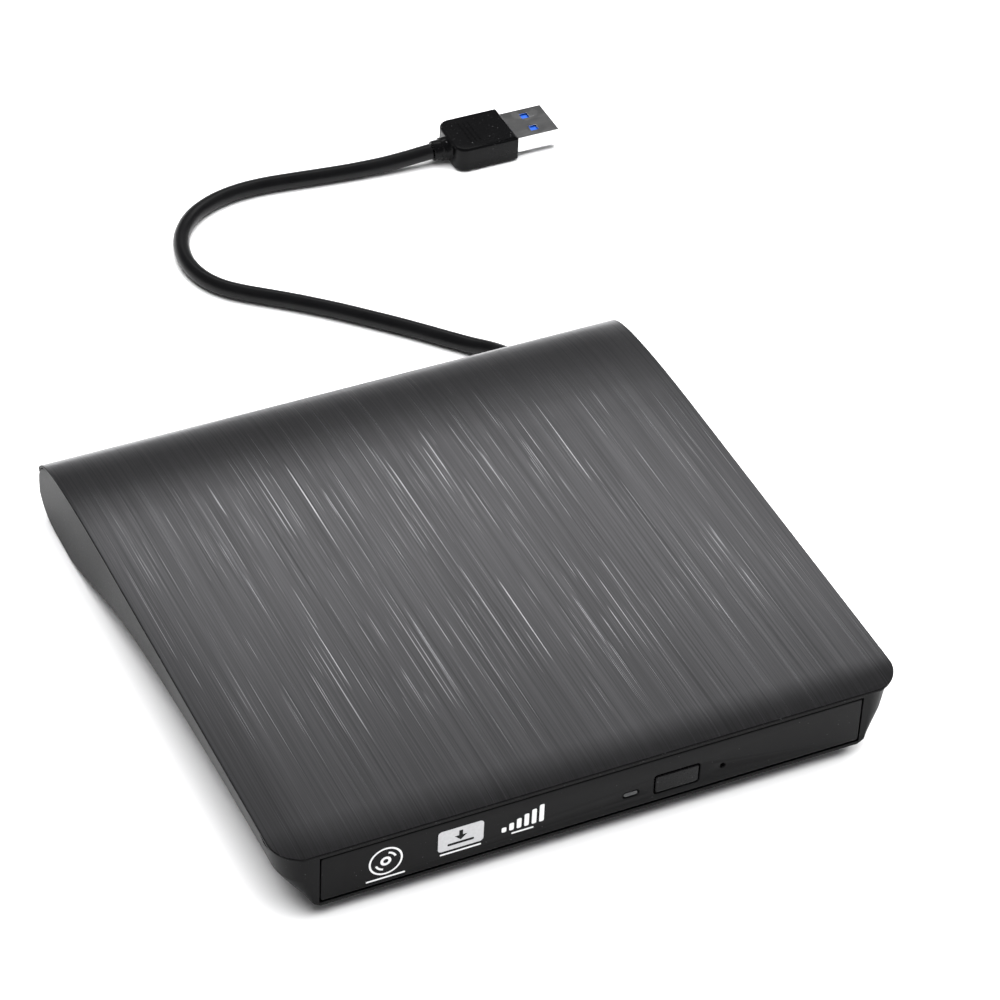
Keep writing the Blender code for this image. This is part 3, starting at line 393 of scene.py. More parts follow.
def reworked(obj, mat):
    """A cut object made anew, welded and with fresh normals."""
    bm, name = bmesh.new(), obj.name
    bm.from_mesh(obj.data)
    bmesh.ops.scale(bm, vec=(1 / MM, 1 / MM, 1 / MM), verts=bm.verts)
    bpy.data.objects.remove(obj, do_unlink=True)
    return add_mesh(name, bm, mat)


def soften(obj, width, segments=3, angle=38.0):
    """Rounded edges, with the flat faces kept flat."""
    bevel = obj.modifiers.new("rounded", "BEVEL")
    bevel.width = width * MM
    bevel.segments = segments
    bevel.limit_method = "ANGLE"
    bevel.angle_limit = radians(angle)
    normals = obj.modifiers.new("flat_faces", "WEIGHTED_NORMAL")
    normals.keep_sharp = True
    return obj


# ---- materials

class Surface:
    """A Principled material with procedural colour, roughness and bump, listed under its name."""

    def __init__(self, name, **constants):
        mat = MATERIALS[name] = bpy.data.materials.new(name)
        mat.use_nodes = True
        self.tree = mat.node_tree
        self.shader = self.tree.nodes["Principled BSDF"]
        self.place = self.tree.nodes.new("ShaderNodeTexCoord").outputs["Object"]
        for socket, value in constants.items():
            self.shader.inputs[socket.replace("_", " ")].default_value = value

    def link(self, source, target):
        self.tree.links.new(source, target)

    def stretched(self, *scale, turn=0.0):
        """The place in the object, stretched so that a feature is 1 / scale metres long each way."""
        scale = scale if len(scale) == 3 else scale * 3
        node = self.tree.nodes.new("ShaderNodeMapping")
        node.inputs["Scale"].default_value = scale
        node.inputs["Rotation"].default_value[2] = radians(turn)
        self.link(self.place, node.inputs["Vector"])
        return node.outputs["Vector"]

    def noise(self, *scale, detail=2.0, rough=0.5, turn=0.0):
        """Noise from 0 to 1 whose features are 1 / scale metres long each way."""
        node = self.tree.nodes.new("ShaderNodeTexNoise")
        node.inputs["Scale"].default_value = 1.0
        node.inputs["Detail"].default_value = detail
        node.inputs["Roughness"].default_value = rough
        self.link(self.stretched(*scale, turn=turn), node.inputs["Vector"])
        return node.outputs["Fac"]

    def ranged(self, value, low, high, to_low=0.0, to_high=1.0):
        """A value's stretch from low to high made to_low to to_high, and held there beyond."""
        node = self.tree.nodes.new("ShaderNodeMapRange")
        for socket, number in zip(("From Min", "From Max", "To Min", "To Max"), (low, high, to_low, to_high)):
            node.inputs[socket].default_value = number
        self.link(value, node.inputs["Value"])
        return node.outputs["Result"]

    def maths(self, operation, a, b=0.0):
        node = self.tree.nodes.new("ShaderNodeMath")
        node.operation = operation
        for socket, value in zip(node.inputs, (a, b)):
            if isinstance(value, (int, float)):
                socket.default_value = value
            else:
                self.link(value, socket)
        return node.outputs["Value"]

    def blend(self, share, a, b):
        """A colour from a to b by a share."""
        node = self.tree.nodes.new("ShaderNodeMix")
        node.data_type = "RGBA"
        self.link(share, node.inputs["Factor"])
        for socket, value in ((node.inputs["A"], a), (node.inputs["B"], b)):
            if isinstance(value, tuple):
                socket.default_value = (*value, 1.0)
            else:
                self.link(value, socket)
        return node.outputs["Result"]

    def colour(self, value):
        self.link(value, self.shader.inputs["Base Color"])

    def roughness(self, value):
        self.link(value, self.shader.inputs["Roughness"])

    def bump(self, height, distance, strength=1.0):
        """Relief with a height of distance millimetres."""
        node = self.tree.nodes.new("ShaderNodeBump")
        node.inputs["Distance"].default_value = distance * MM
        node.inputs["Strength"].default_value = strength
        self.link(height, node.inputs["Height"])
        self.link(node.outputs["Normal"], self.shader.inputs["Normal"])


def brushed_cover():
    """Dark brushed coating: fine streaks from front to back, and sparse bright scratches, crowded into the
    middle as a painted highlight.
    """
    s = Surface("brushed_cover", Metallic=0.9, Anisotropic=0.85)
    fine = s.noise(5600, 26, 60)
    streak = s.noise(2300, 12, 60)
    band = s.noise(240, 9, 20)
    tone = s.maths("ADD", s.maths("MULTIPLY", fine, 0.42),
                   s.maths("ADD", s.maths("MULTIPLY", streak, 0.46), s.maths("MULTIPLY", band, 0.12)))
    # Painted highlight: a spherical mask about the cover's middle crowds the bright scratches there, where
    # the light band falls.
    middle = s.tree.nodes.new("ShaderNodeTexGradient")
    middle.gradient_type = "SPHERICAL"
    s.link(s.stretched(11.5, 14.0, 0.0), middle.inputs["Vector"])
    thread = s.ranged(s.noise(5600, 17, 60, detail=0.0), 0.70, 0.76)
    broken = s.ranged(s.noise(1900, 48, 60, detail=0.0), 0.47, 0.57)
    scratch_and_painted_glint = s.maths("MULTIPLY", s.maths("MULTIPLY", thread, broken),
                      s.ranged(middle.outputs["Fac"], 0.0, 0.45, 0.12, 0.85))
    dark = s.blend(s.ranged(tone, 0.34, 0.68), (0.052, 0.052, 0.054), (0.092, 0.091, 0.095))
    s.colour(s.blend(scratch_and_painted_glint, dark, (0.46, 0.46, 0.48)))
    s.roughness(s.ranged(tone, 0.36, 0.66, 0.34, 0.27))
    s.bump(s.maths("ADD", fine, streak), 0.003, 0.6)
    tangent = s.tree.nodes.new("ShaderNodeTangent")
    tangent.direction_type = "UV_MAP"
    tangent.uv_map = BRUSH_UV
    s.link(tangent.outputs["Tangent"], s.shader.inputs["Tangent"])


def moulded_plastic(name, dark, light, rough, grain, depth, specular=0.5):
    """Injection-moulded plastic: a spark-eroded grain, faint clouds of tone and gloss, and rare dust."""
    s = Surface(name, Specular_IOR_Level=specular)
    cloud = s.noise(38, detail=3.0)
    texture = s.noise(grain, grain, grain, rough=0.6)
    speck = s.ranged(s.noise(1900, detail=0.0), 0.80, 0.84)
    s.colour(s.blend(s.maths("MULTIPLY", speck, 0.12), s.blend(cloud, dark, light), (0.35, 0.35, 0.36)))
    s.roughness(s.maths("ADD", s.ranged(cloud, 0.3, 0.7, rough - 0.03, rough + 0.03),
                        s.ranged(texture, 0.3, 0.7, -0.03, 0.03)))
    s.bump(texture, depth)


def rolled_steel(name, tone, rough):
    """Zinc-coated sheet: a faint spangle, a rolling direction and light handling marks."""
    s = Surface(name, Metallic=1.0)
    cells = s.tree.nodes.new("ShaderNodeTexVoronoi")
    cells.inputs["Scale"].default_value = 1.0
    s.link(s.stretched(420), cells.inputs["Vector"])
    grain = s.noise(140, 3400, 3400, detail=3.0)
    marks = s.ranged(s.noise(60, 700, 300, detail=4.0, turn=24.0), 0.62, 0.70)
    shade = s.maths("ADD", s.maths("MULTIPLY", cells.outputs["Color"], 0.35),
                    s.maths("MULTIPLY", grain, 0.65))
    light = tuple(min(1.0, c * 1.22) for c in tone)
    s.colour(s.blend(shade, tuple(c * 0.82 for c in tone), light))
    s.roughness(s.maths("ADD", s.ranged(shade, 0.2, 0.8, rough - 0.05, rough + 0.06),
                        s.maths("MULTIPLY", marks, 0.08)))
    s.bump(s.maths("SUBTRACT", grain, marks), 0.004, 0.7)


def polished_steel():
    """Machined steel with fine lines."""
    s = Surface("bright_steel", Metallic=1.0)
    lines = s.noise(6000)
    cloud = s.noise(160)
    s.colour(s.blend(cloud, (0.60, 0.61, 0.62), (0.76, 0.77, 0.78)))
    s.roughness(s.ranged(lines, 0.3, 0.7, 0.14, 0.24))
    s.bump(lines, 0.002, 0.5)


def cast_metal():
    """Cast zinc, dull and grainy."""
    s = Surface("cast_metal", Metallic=0.9)
    grain = s.noise(2600, detail=4.0, rough=0.65)
    cloud = s.noise(120, detail=3.0)
    s.colour(s.blend(cloud, (0.30, 0.30, 0.31), (0.48, 0.48, 0.49)))
    s.roughness(s.ranged(grain, 0.3, 0.7, 0.42, 0.58))
    s.bump(grain, 0.03)


def soft_rubber():
    """Black rubber with a little dust."""
    s = Surface("rubber", Specular_IOR_Level=0.3)
    grain = s.noise(3200, detail=3.0, rough=0.6)
    dust = s.noise(300, detail=4.0)
    s.colour(s.blend(s.ranged(dust, 0.45, 0.75), (0.012, 0.012, 0.012), (0.034, 0.033, 0.032)))
    s.roughness(s.ranged(grain, 0.3, 0.7, 0.72, 0.88))
    s.bump(grain, 0.02)


def cable_jacket():
    """Satin PVC jacket with the slight waves of the twisted wires under it."""
    s = Surface("cable_jacket", Specular_IOR_Level=0.16)
    grain = s.noise(2600)
    wave = s.noise(160, detail=1.0)
    s.colour(s.blend(wave, (0.0025, 0.0025, 0.0028), (0.0048, 0.0048, 0.0052)))
    s.roughness(s.maths("ADD", s.ranged(wave, 0.3, 0.7, 0.30, 0.36), s.ranged(grain, 0.3, 0.7, -0.03, 0.03)))
    s.bump(s.maths("ADD", s.maths("MULTIPLY", grain, 0.25), wave), 0.06, 0.5)


def circuit_board():
    """Green solder mask over copper tracks, with rows of tinned pads."""
    s = Surface("circuit_board", Coat_Weight=0.3, Coat_Roughness=0.15)
    tracks = s.tree.nodes.new("ShaderNodeTexVoronoi")
    tracks.feature = "DISTANCE_TO_EDGE"
    tracks.inputs["Scale"].default_value = 1.0
    s.link(s.stretched(330, 330, 60), tracks.inputs["Vector"])
    track = s.ranged(tracks.outputs["Distance"], 0.05, 0.09, 1.0, 0.0)
    pads = s.tree.nodes.new("ShaderNodeTexVoronoi")
    pads.inputs["Scale"].default_value = 1.0
    pads.inputs["Randomness"].default_value = 0.35
    s.link(s.stretched(420, 420, 60), pads.inputs["Vector"])
    pad = s.maths("MULTIPLY", s.ranged(pads.outputs["Distance"], 0.16, 0.20, 1.0, 0.0),
                  s.ranged(s.noise(60), 0.52, 0.56))
    mask = s.blend(track, (0.006, 0.055, 0.022), (0.014, 0.12, 0.045))
    s.colour(s.blend(pad, mask, (0.62, 0.62, 0.60)))
    s.roughness(s.ranged(pad, 0.0, 1.0, 0.42, 0.25))
    s.link(pad, s.shader.inputs["Metallic"])
    s.bump(s.maths("ADD", track, pad), 0.03)


def flat_ribbon():
    """Amber film over parallel conductors."""
    s = Surface("ribbon", Coat_Weight=0.4, Coat_Roughness=0.2)
    split = s.tree.nodes.new("ShaderNodeSeparateXYZ")
    s.link(s.place, split.inputs["Vector"])
    lane = s.maths("SINE", s.maths("MULTIPLY", split.outputs["X"], 2 * pi / (1.0 * MM)))
    wire = s.ranged(lane, 0.0, 0.35)
    film = s.noise(90)
    s.colour(s.blend(wire, s.blend(film, (0.30, 0.16, 0.05), (0.36, 0.20, 0.07)), (0.62, 0.42, 0.20)))
    s.roughness(s.ranged(film, 0.3, 0.7, 0.32, 0.42))
    s.bump(wire, 0.04)


def clear_part(name, dark, light, rough, transmission, **constants):
    """A part that lets light through."""
    s = Surface(name, Transmission_Weight=transmission, **constants)
    cloud = s.noise(500)
    s.colour(s.blend(cloud, dark, light))
    s.roughness(s.ranged(cloud, 0.3, 0.7, rough, rough + 0.04))


def printed_ink(name, tone):
    """Pad-printed ink, slightly uneven at its edges and a little rougher than the panel."""
    s = Surface(name, Specular_IOR_Level=0.3)
    patch = s.noise(1800, detail=3.0)
    s.colour(s.blend(s.ranged(patch, 0.3, 0.7), tuple(c * 0.88 for c in tone), tone))
    s.roughness(s.ranged(patch, 0.3, 0.7, 0.48, 0.6))
    s.bump(patch, 0.006)


def gold_plate():
    """Gold-plated contacts."""
    s = Surface("gold_plate", Metallic=1.0)
    patch = s.noise(900)
    s.colour(s.blend(patch, (0.83, 0.60, 0.25), (0.95, 0.72, 0.34)))
    s.roughness(s.ranged(patch, 0.3, 0.7, 0.18, 0.28))


BRUSH_UV = "brush"

# Plastics: dark and light tone, roughness, grains per metre, their depth, and the specular level of some
PLASTICS = {
    "black_shell": ((0.0022, 0.0022, 0.0024), (0.0038, 0.0038, 0.0041), 0.42, 2400, 0.010, 0.075),
    # The cover's edge material: near-black and dull on its rims, front edge and underside, as painted shade.
    "cover_edge_painted_shade": ((0.0018, 0.0018, 0.002), (0.003, 0.003, 0.0033), 0.4, 3000, 0.004, 0.05),
    "tray_plastic": ((0.007, 0.007, 0.0075), (0.012, 0.012, 0.0125), 0.55, 1500, 0.03),
    "hub_plastic": ((0.009, 0.009, 0.0095), (0.015, 0.015, 0.016), 0.38, 3000, 0.01),
    "connector_plastic": ((0.010, 0.010, 0.010), (0.018, 0.018, 0.018), 0.5, 2600, 0.02),
    "plug_insert": ((0.012, 0.075, 0.42), (0.018, 0.10, 0.52), 0.4, 2600, 0.01),
    "plug_gloss": ((0.0018, 0.0018, 0.002), (0.003, 0.003, 0.0033), 0.24, 2400, 0.003, 0.11),
}
for plastic, values in PLASTICS.items():
    moulded_plastic(plastic, *values)
brushed_cover()
rolled_steel("sheet_steel", (0.52, 0.53, 0.54), 0.34)
rolled_steel("plug_metal", (0.66, 0.66, 0.66), 0.20)
polished_steel()
cast_metal()
soft_rubber()
cable_jacket()
circuit_board()
flat_ribbon()
clear_part("lens_glass", (0.55, 0.66, 0.90), (0.66, 0.76, 0.96), 0.02, 0.9, IOR=1.52, Coat_Weight=0.5)
clear_part("led_window", (0.010, 0.011, 0.012), (0.018, 0.019, 0.020), 0.18, 0.25, IOR=1.49)
printed_ink("ink_white", (0.80, 0.80, 0.80))
printed_ink("ink_grey", (0.52, 0.52, 0.53))
gold_plate()


# ---- case

def half_at(y, half, low_y, high_y, corners):
    """Half the width at y of a rectangle with its own corner radii at the front and the rear."""
    front, rear = corners
    if y < low_y + front:
        return half - front + sqrt(max(front ** 2 - (low_y + front - y) ** 2, 0.0))
    if y > high_y - rear:
        return half - rear + sqrt(max(rear ** 2 - (y - high_y + rear) ** 2, 0.0))
    return half


def rear_roll(inset):
    """The rear roll moved in by inset, split where the cover ends and the base begins."""
    line = offset_line([tuple(p) for p in smooth_line(REAR_ROLL, 8)], inset)
    split = next(i for i, p in enumerate(line) if p[1] < PARTING_Z)
    return line[:split], line[split:]


def cover_section(half, outer, inner):
    """One section across the cover: its outer side to the right and its inner side back, with thin rims."""
    outer, inner = Vector(outer), Vector(inner)
    wall = (inner - outer).length
    rim = min(RIM_WALL, wall)
    edge = min(COVER_ROUND, 0.45 * rim)
    right = [(half - edge + edge * sin(radians(18 * i)), edge * (1 - cos(radians(18 * i)))) for i in range(6)]
    right += [(half, rim - 0.1 * rim), (half - 0.1 * rim, rim), (half - RIM_WIDTH, rim),
              (half - RIM_WIDTH, wall)]
    columns = 12
    top = [(right[0][0] * (2 * i / columns - 1), 0.0) for i in range(1, columns)]
    bottom = [(right[-1][0] * (1 - 2 * i / columns), wall) for i in range(1, columns)]
    across = [(-x, d) for x, d in reversed(right)] + top + right + bottom
    depth = (inner - outer) / wall
    return [(x, *(outer + depth * d)) for x, d in across]


def cover_lip():
    """The cover's outer line over its lip, as (y, z)."""
    low, high, _ = node_box("top_cover")
    rise = COVER_WALL - LIP_EDGE
    turns = [radians(90 * i / 20) for i in range(21)]
    return [(low.y + LIP_RUN * (1 - cos(turn)), high.z - rise + rise * sin(turn)) for turn in turns]


def make_cover():
    """The cover: a lip that thickens behind the front edge, the flat top, and the roll down the back."""
    low, high, _ = node_box("top_cover")
    under_z = high.z - COVER_WALL
    stations = []
    for i, (y, z) in enumerate(cover_lip()):
        turn = radians(min(90, 30 * i))
        inner_y = low.y + NOSE * (1 - cos(turn)) if i < 4 else y
        stations.append(((y, z), (inner_y, under_z + NOSE * (1 - sin(turn)))))
    flat_from, flat_to = low.y + LIP_RUN, REAR_ROLL[0][0]
    flat = [flat_from + (flat_to - flat_from) * i / 12 for i in range(1, 12)]
    stations += [((y, high.z), (y, under_z)) for y in flat]
    stations += list(zip(rear_roll(0)[0], rear_roll(COVER_WALL)[0]))
    plan = (high.x, low.y, high.y + 1, COVER_CORNERS)
    rings = [cover_section(half_at(outer[0], *plan), outer, inner) for outer, inner in stations]
    cover = shaped("cover_skin", "brushed_cover", loft, rings, angle=50.0)
    # Painted shade: faces that look sideways, forwards or down take the near-black edge material instead of
    # the brushed coating.
    cover.data.materials.append(MATERIALS["cover_edge_painted_shade"])
    for face in cover.data.polygons:
        face.material_index = int(abs(face.normal.x) > EDGE_FACING or face.normal.y < -EDGE_FACING
                                  or face.normal.z < -EDGE_FACING)
    brush = cover.data.uv_layers.new(name=BRUSH_UV)
    for loop in cover.data.loops:
        at = cover.data.vertices[loop.vertex_index].co / (CAD_BOX[1].y - CAD_BOX[0].y)
        brush.data[loop.index].uv = (at.x + at.z, at.y)
    place(cover, "case", "brushed_cover", "top_cover")


def base_lines(face_y, top_z):
    """The base's top line in its middle and along its side walls, and its bottom line, as (y, z)."""
    _, lower = rear_roll(0)
    ends = [(lower[0][0], PARTING_Z)]
    upper = [p for p in rear_roll(COVER_WALL + GAP)[0] if p[1] < top_z]
    top = [(face_y, top_z), (upper[0][0] - 1, top_z), *upper, (upper[-1][0] + 0.1, PARTING_Z), *ends]
    rim = rear_roll(RIM_WALL + GAP)[0]
    corner_end = face_y + BASE_CORNERS[0]
    side = [(face_y, top_z), (corner_end, top_z), (corner_end + 3, rim[0][1]), *rim,
            (rim[-1][0] + 0.1, PARTING_Z), *ends]
    foot = [(face_y + FRONT_ROUND * (1 - cos(radians(a))), FLOOR_Z + FRONT_ROUND * (1 - sin(radians(a))))
            for a in range(0, 91, 15)]
    rise = [tuple(p) for p in smooth_line(list(reversed(HUMP_RISE)), 6)]
    return top, side, foot + rise + list(reversed(lower)) + ends


def undercut_line(y, floor, room):
    """How far in from its full width the base's side stands, from the floor up: (inset, z)."""
    width, height, draft = between(UNDERCUT, y)
    width, height = min(max(width, BASE_ROUND), 0.65 * room), min(max(height, BASE_ROUND), 0.56 * room)
    power = UNDERCUT_POWER + (2 - UNDERCUT_POWER) * min(1.0, BASE_ROUND / width)
    line = []
    for i in range(17):
        across = 1 - (1 - i / 16) ** 1.5
        up = 1 - (1 - across ** power) ** (1 / power)
        line.append((draft + (width - draft) * (1 - across), floor + height * up))
    return line


def base_ring(y, lines, half, plan):
    """One section across the base: side walls that rise under the cover's rim, and undercut lower edges."""
    top, wall, bottom = lines
    (roof,), (rim,), (floor,) = between(top, y), between(wall, y), between(bottom, y)
    side, rim = half_at(y, *plan), max(rim, roof)
    corner_x = half - BASE_CORNERS[0]
    share = (side - corner_x) / BASE_CORNERS[0]
    right = []
    for inset, z in undercut_line(y, floor, roof - floor):
        x = half - inset
        right.append((corner_x + (x - corner_x) * share if x > corner_x else x, z))
    right += [(side, rim), (side - SIDE_WALL, rim), (side - SIDE_WALL, roof)]
    bottom_row = [(right[0][0] * (1 - 2 * i / 10), floor) for i in range(9, 0, -1)]
    return [(x, y, z) for x, z in [(-x, z) for x, z in reversed(right)] + bottom_row + right]


def make_base():
    """The base, lofted from front to back, with openings for the drive, boards, groove, feet and screws."""
    low, high, _ = node_box("base_shell")
    face_y, half, top_z = low.y, high.x, high.z
    lines = base_lines(face_y, top_z)
    corner = BASE_CORNERS[0]
    marks = {face_y + corner * (1 - cos(radians(5 * i))) for i in range(19)}
    marks |= {face_y + corner + 3.0 * i for i in range(36)} | {p[0] for line in lines for p in line}
    stations = sorted(y for y in marks if face_y <= y <= lines[0][-1][0])
    stations = [a for a, b in zip(stations, stations[1:] + [1e9]) if b - a > 0.02]
    rings = [base_ring(y, lines, half, (half, face_y, high.y + 1, BASE_CORNERS)) for y in stations]
    base = shaped("case_shell", "black_shell", loft, rings)
    drive_high = node_box("drive_chassis")[1]
    groove_low, groove_high = GROOVE
    x, _, z = Vector(CORD_ROUTE[0]) / MM
    relief_low, relief_high, _ = node_box("strain_relief")
    tools = [
        cutter(box, (-BAY_HALF, low.y - 5, FLOOR_Z + BAY_FLOOR),
               (BAY_HALF, drive_high.y + BAY_ROOM[0], drive_high.z + BAY_ROOM[1])),
        cutter(box, (-half + POCKET_WALL, low.y + POCKET_FRONT, POCKET_Z),
               (half - POCKET_WALL, POCKET_END, ABOVE)),
        cutter(box, (-half + REAR_POCKET_WALL, REAR_POCKET_Y[0], groove_high.z + GROOVE_ROOF),
               (half - REAR_POCKET_WALL, REAR_POCKET_Y[1], ABOVE)),
        cutter(box, groove_low, groove_high),
        cutter(rod, LEAD_HOLE_R, (x, LEAD_HOLE_Y[0], z), (x, LEAD_HOLE_Y[1], z)),
        cutter(rod, relief_high.x - x + GAP, (x, relief_low.y - GAP, z), (x, relief_low.y + RELIEF_SEAT, z)),
    ]
    for name in FEET:
        _, foot_high, middle = node_box(name)
        tools.append(upright_cutter(foot_high.x - middle.x + GAP, middle, BELOW, foot_high.z + GAP))
    for name in CASE_SCREWS:
        screw_low, screw_high, middle = node_box(name)
        screw_r = screw_high.x - middle.x
        tools.append(upright_cutter(screw_r + GAP, middle, SCREW_WAY_Z, screw_low.z + SCREW_SEAT))
    cut(base, tools)
    base = soften(reworked(base, "black_shell"), 0.18, 2, 50.0)
    place(base, "case", "black_shell", "base_shell")


def make_feet():
    """Rubber feet with a dished face and a rolled edge."""
    for name in FEET:
        low, high, middle = node_box(name)
        radius = high.x - middle.x
        roll = min(0.5, 0.3 * (high.z - low.z) + 0.1)
        profile = [(radius * 0.55, 0.12), (radius * 0.62, 0.03), (radius * 0.7, 0.0)]
        profile += [(radius - roll + roll * sin(radians(a)), roll - roll * cos(radians(a)))
                    for a in range(0, 91, 18)]
        profile.append((radius, high.z))
        place(shaped(name + "_pad", "rubber", turned, profile, 56, upright(middle)), "case", "rubber", name)


# ---- tray front

def make_panel():
    """The front panel with its openings, the eject button on its stem, and the indicator's window."""
    low, high, middle = node_box("front_bezel")
    cap_low, cap_high, cap = node_box("eject_button")
    lens_low, lens_high, lens = node_box("led_lens")
    size, cap_size, lens_size = high - low, cap_high - cap_low, lens_high - lens_low
    outlines = [
        rounded(size.x, size.z, PANEL_CORNER, (middle.x, middle.z)),
        rounded(cap_size.x + BUTTON_PLAY, cap_size.z + BUTTON_PLAY, OPENING_CORNER, (cap.x, cap.z)),
        rounded(lens_size.x + WINDOW_PLAY, lens_size.z + WINDOW_PLAY, OPENING_CORNER, (lens.x, lens.z)),
        circle(PINHOLE[2], PINHOLE[:2], 24),
    ]
    panel = plate("tray_panel", outlines, low.y, high.y, "black_shell", 0.22, "XZ")
    place(panel, "tray", "black_shell", "front_bezel")

    button = plate("button_cap", [rounded(cap_size.x, cap_size.z, 0.7, (cap.x, cap.z))], cap_low.y,
                   cap_low.y + CAP_DEPTH, "plug_gloss", 0.3, "XZ", 4)
    stem = cutter(box, (cap.x - STEM_HALF[0], cap_low.y + STEM_START, cap.z - STEM_HALF[1]),
                  (cap.x + STEM_HALF[0], cap_high.y, cap.z + STEM_HALF[1]))
    place(cut(button, [stem], "UNION"), "button", "black_shell", "eject_button")

    window = plate("indicator_window", [rounded(lens_size.x, lens_size.z, 0.58, (lens.x, lens.z), 8)],
                   lens_low.y, lens_high.y, "led_window", 0.12, "XZ")
    place(window, "tray", "led_window", "led_lens")


def arc_band(radius, width, start, end, middle, steps=28):
    """The outline of a stretch of a ring."""
    turns = [radians(start + (end - start) * i / steps) for i in range(steps + 1)]
    return [(middle[0] + (radius + side * width / 2) * cos(a),
             middle[1] + (radius + side * width / 2) * sin(a))
            for side, way in ((1, turns), (-1, list(reversed(turns)))) for a in way]


def make_marks():
    """Printed generic marks: a disc with two glints, a framed tray with an arrow, and rising bars."""
    face = node_box("front_bezel")[0].y
    white = [circle(3.9, DISC_MARK), circle(3.45, DISC_MARK), circle(1.25, DISC_MARK, 32),
             circle(0.6, DISC_MARK, 24)]
    white += [arc_band(2.35, 0.5, start, start + 55, DISC_MARK) for start in (20, 200)]
    x, z = TRAY_MARK
    arrow = [(x - 0.45, z + 2.0), (x - 0.45, z + 0.6), (x - 1.5, z + 0.6), (x, z - 0.8), (x + 1.5, z + 0.6),
             (x + 0.45, z + 0.6), (x + 0.45, z + 2.0)]
    grey = [rounded(10.6, 6.0, 0.9, TRAY_MARK), rounded(6.2, 0.7, 0.3, (x, z - 1.5)), arrow]
    bars = []
    for i in range(6):
        height = 1.4 + 0.72 * i
        bars.append(rounded(1.1, height, 0.35, (BARS_MARK[0] - 4.4 + 1.76 * i, BARS_MARK[1] + height / 2), 4))
    lines = [rounded(width, 0.45, 0.2, (mark[0], z_at), 4)
             for mark, width, z_at in ((DISC_MARK, 9.0, 6.1), (TRAY_MARK, 9.6, 7.6), (BARS_MARK, 5.2, 7.9))]
    for name, outlines, mat in (("mark_disc", white, "ink_white"), ("mark_tray", grey, "ink_grey"),
                                ("mark_bars", bars, "ink_white"), ("mark_lines", lines, "ink_white")):
        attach(plate(name, outlines, face - INK, face + INK, mat, 0.0, "XZ"), "tray")


# ---- tray and drive

def traverse_frame():
    """From the traverse's (u, v, z), u outwards from the spindle along the pickup's way, to the drive's."""
    spindle = node_box("turntable_hub")[2]
    return upright(spindle) @ Matrix.Rotation(radians(TRAVERSE_TURN), 4, "Z")


def window_outline():
    """The opening for the spindle and the pickup: a long window with rounded corners."""
    length, middle = WINDOW_U[1] - WINDOW_U[0], (WINDOW_U[0] + WINDOW_U[1]) / 2
    turn = traverse_frame()
    return [tuple((turn @ Vector((u, v, 0.0)))[:2])
            for u, v in rounded(length, 2 * WINDOW_V, 1.5, (middle, 0.0))]


def make_tray():
    """The tray: a plate with a deep well for a disc and a shallower one for a small disc, over a skirt."""
    low, high, middle = node_box("disc_tray")
    size, top = high - low, high.z + 5
    spindle = traverse_frame().translation
    tray = plate("tray_deck", [rounded(size.x, size.y, 2.0, (middle.x, middle.y))], TRAY_PLATE_Z, high.z,
                 "tray_plastic", 0.3)
    wells = [upright_cutter(WELL[0], spindle, WELL[1], top, 180),
             upright_cutter(SMALL_WELL[0], spindle, SMALL_WELL[1], top, 144)]
    scoops = [upright_cutter(SCOOP_R, Vector((side * SCOOP_AT, spindle.y - SCOOP_AT)), WELL[1], top, 72)
              for side in (-1, 1)]
    cut(tray, [*wells, *scoops])
    skirt = cutter(box, (-SKIRT_HALF, low.y, low.z), (SKIRT_HALF, high.y, TRAY_PLATE_Z + 0.3))
    under = cutter(box, (-SKIRT_HALF + SKIRT_WALL, low.y + SKIRT_WALL, low.z - 5),
                   (SKIRT_HALF - SKIRT_WALL, high.y - SKIRT_WALL, TRAY_PLATE_Z))
    cut(tray, [skirt], "UNION")
    way = plate("cutter", [window_outline()], *WAY_Z, "tray_plastic")
    ring = upright_cutter(TURNTABLE_WAY_R, spindle, *WAY_Z, 72)
    notch_low, notch_high, _ = node_box("latch_hook")
    notch = cutter(box, (notch_low.x - NOTCH_ROOM[0], high.y - 4, notch_low.z - NOTCH_ROOM[1]),
                   (notch_high.x + NOTCH_ROOM[0], high.y + 2, notch_high.z + NOTCH_ROOM[1]))
    windows = []
    for name, half_x, half_z in (("eject_button", 2.6, 1.4), ("led_lens", 2.2, 1.1)):
        part_low, part_high, _ = node_box(name)
        x, z = (part_low.x + part_high.x) / 2, (part_low.z + part_high.z) / 2
        windows.append(cutter(box, (x - half_x, low.y - 3, z - half_z), (x + half_x, low.y + 3, z + half_z)))
    windows.append(cutter(rod, 1.0, (PINHOLE[0], low.y - 3, PINHOLE[1]), (PINHOLE[0], low.y + 3, PINHOLE[1])))
    cut(tray, [under, way, ring, notch, *windows])
    place(soften(reworked(tray, "tray_plastic"), 0.3, 3), "tray", "tray_plastic", "disc_tray")


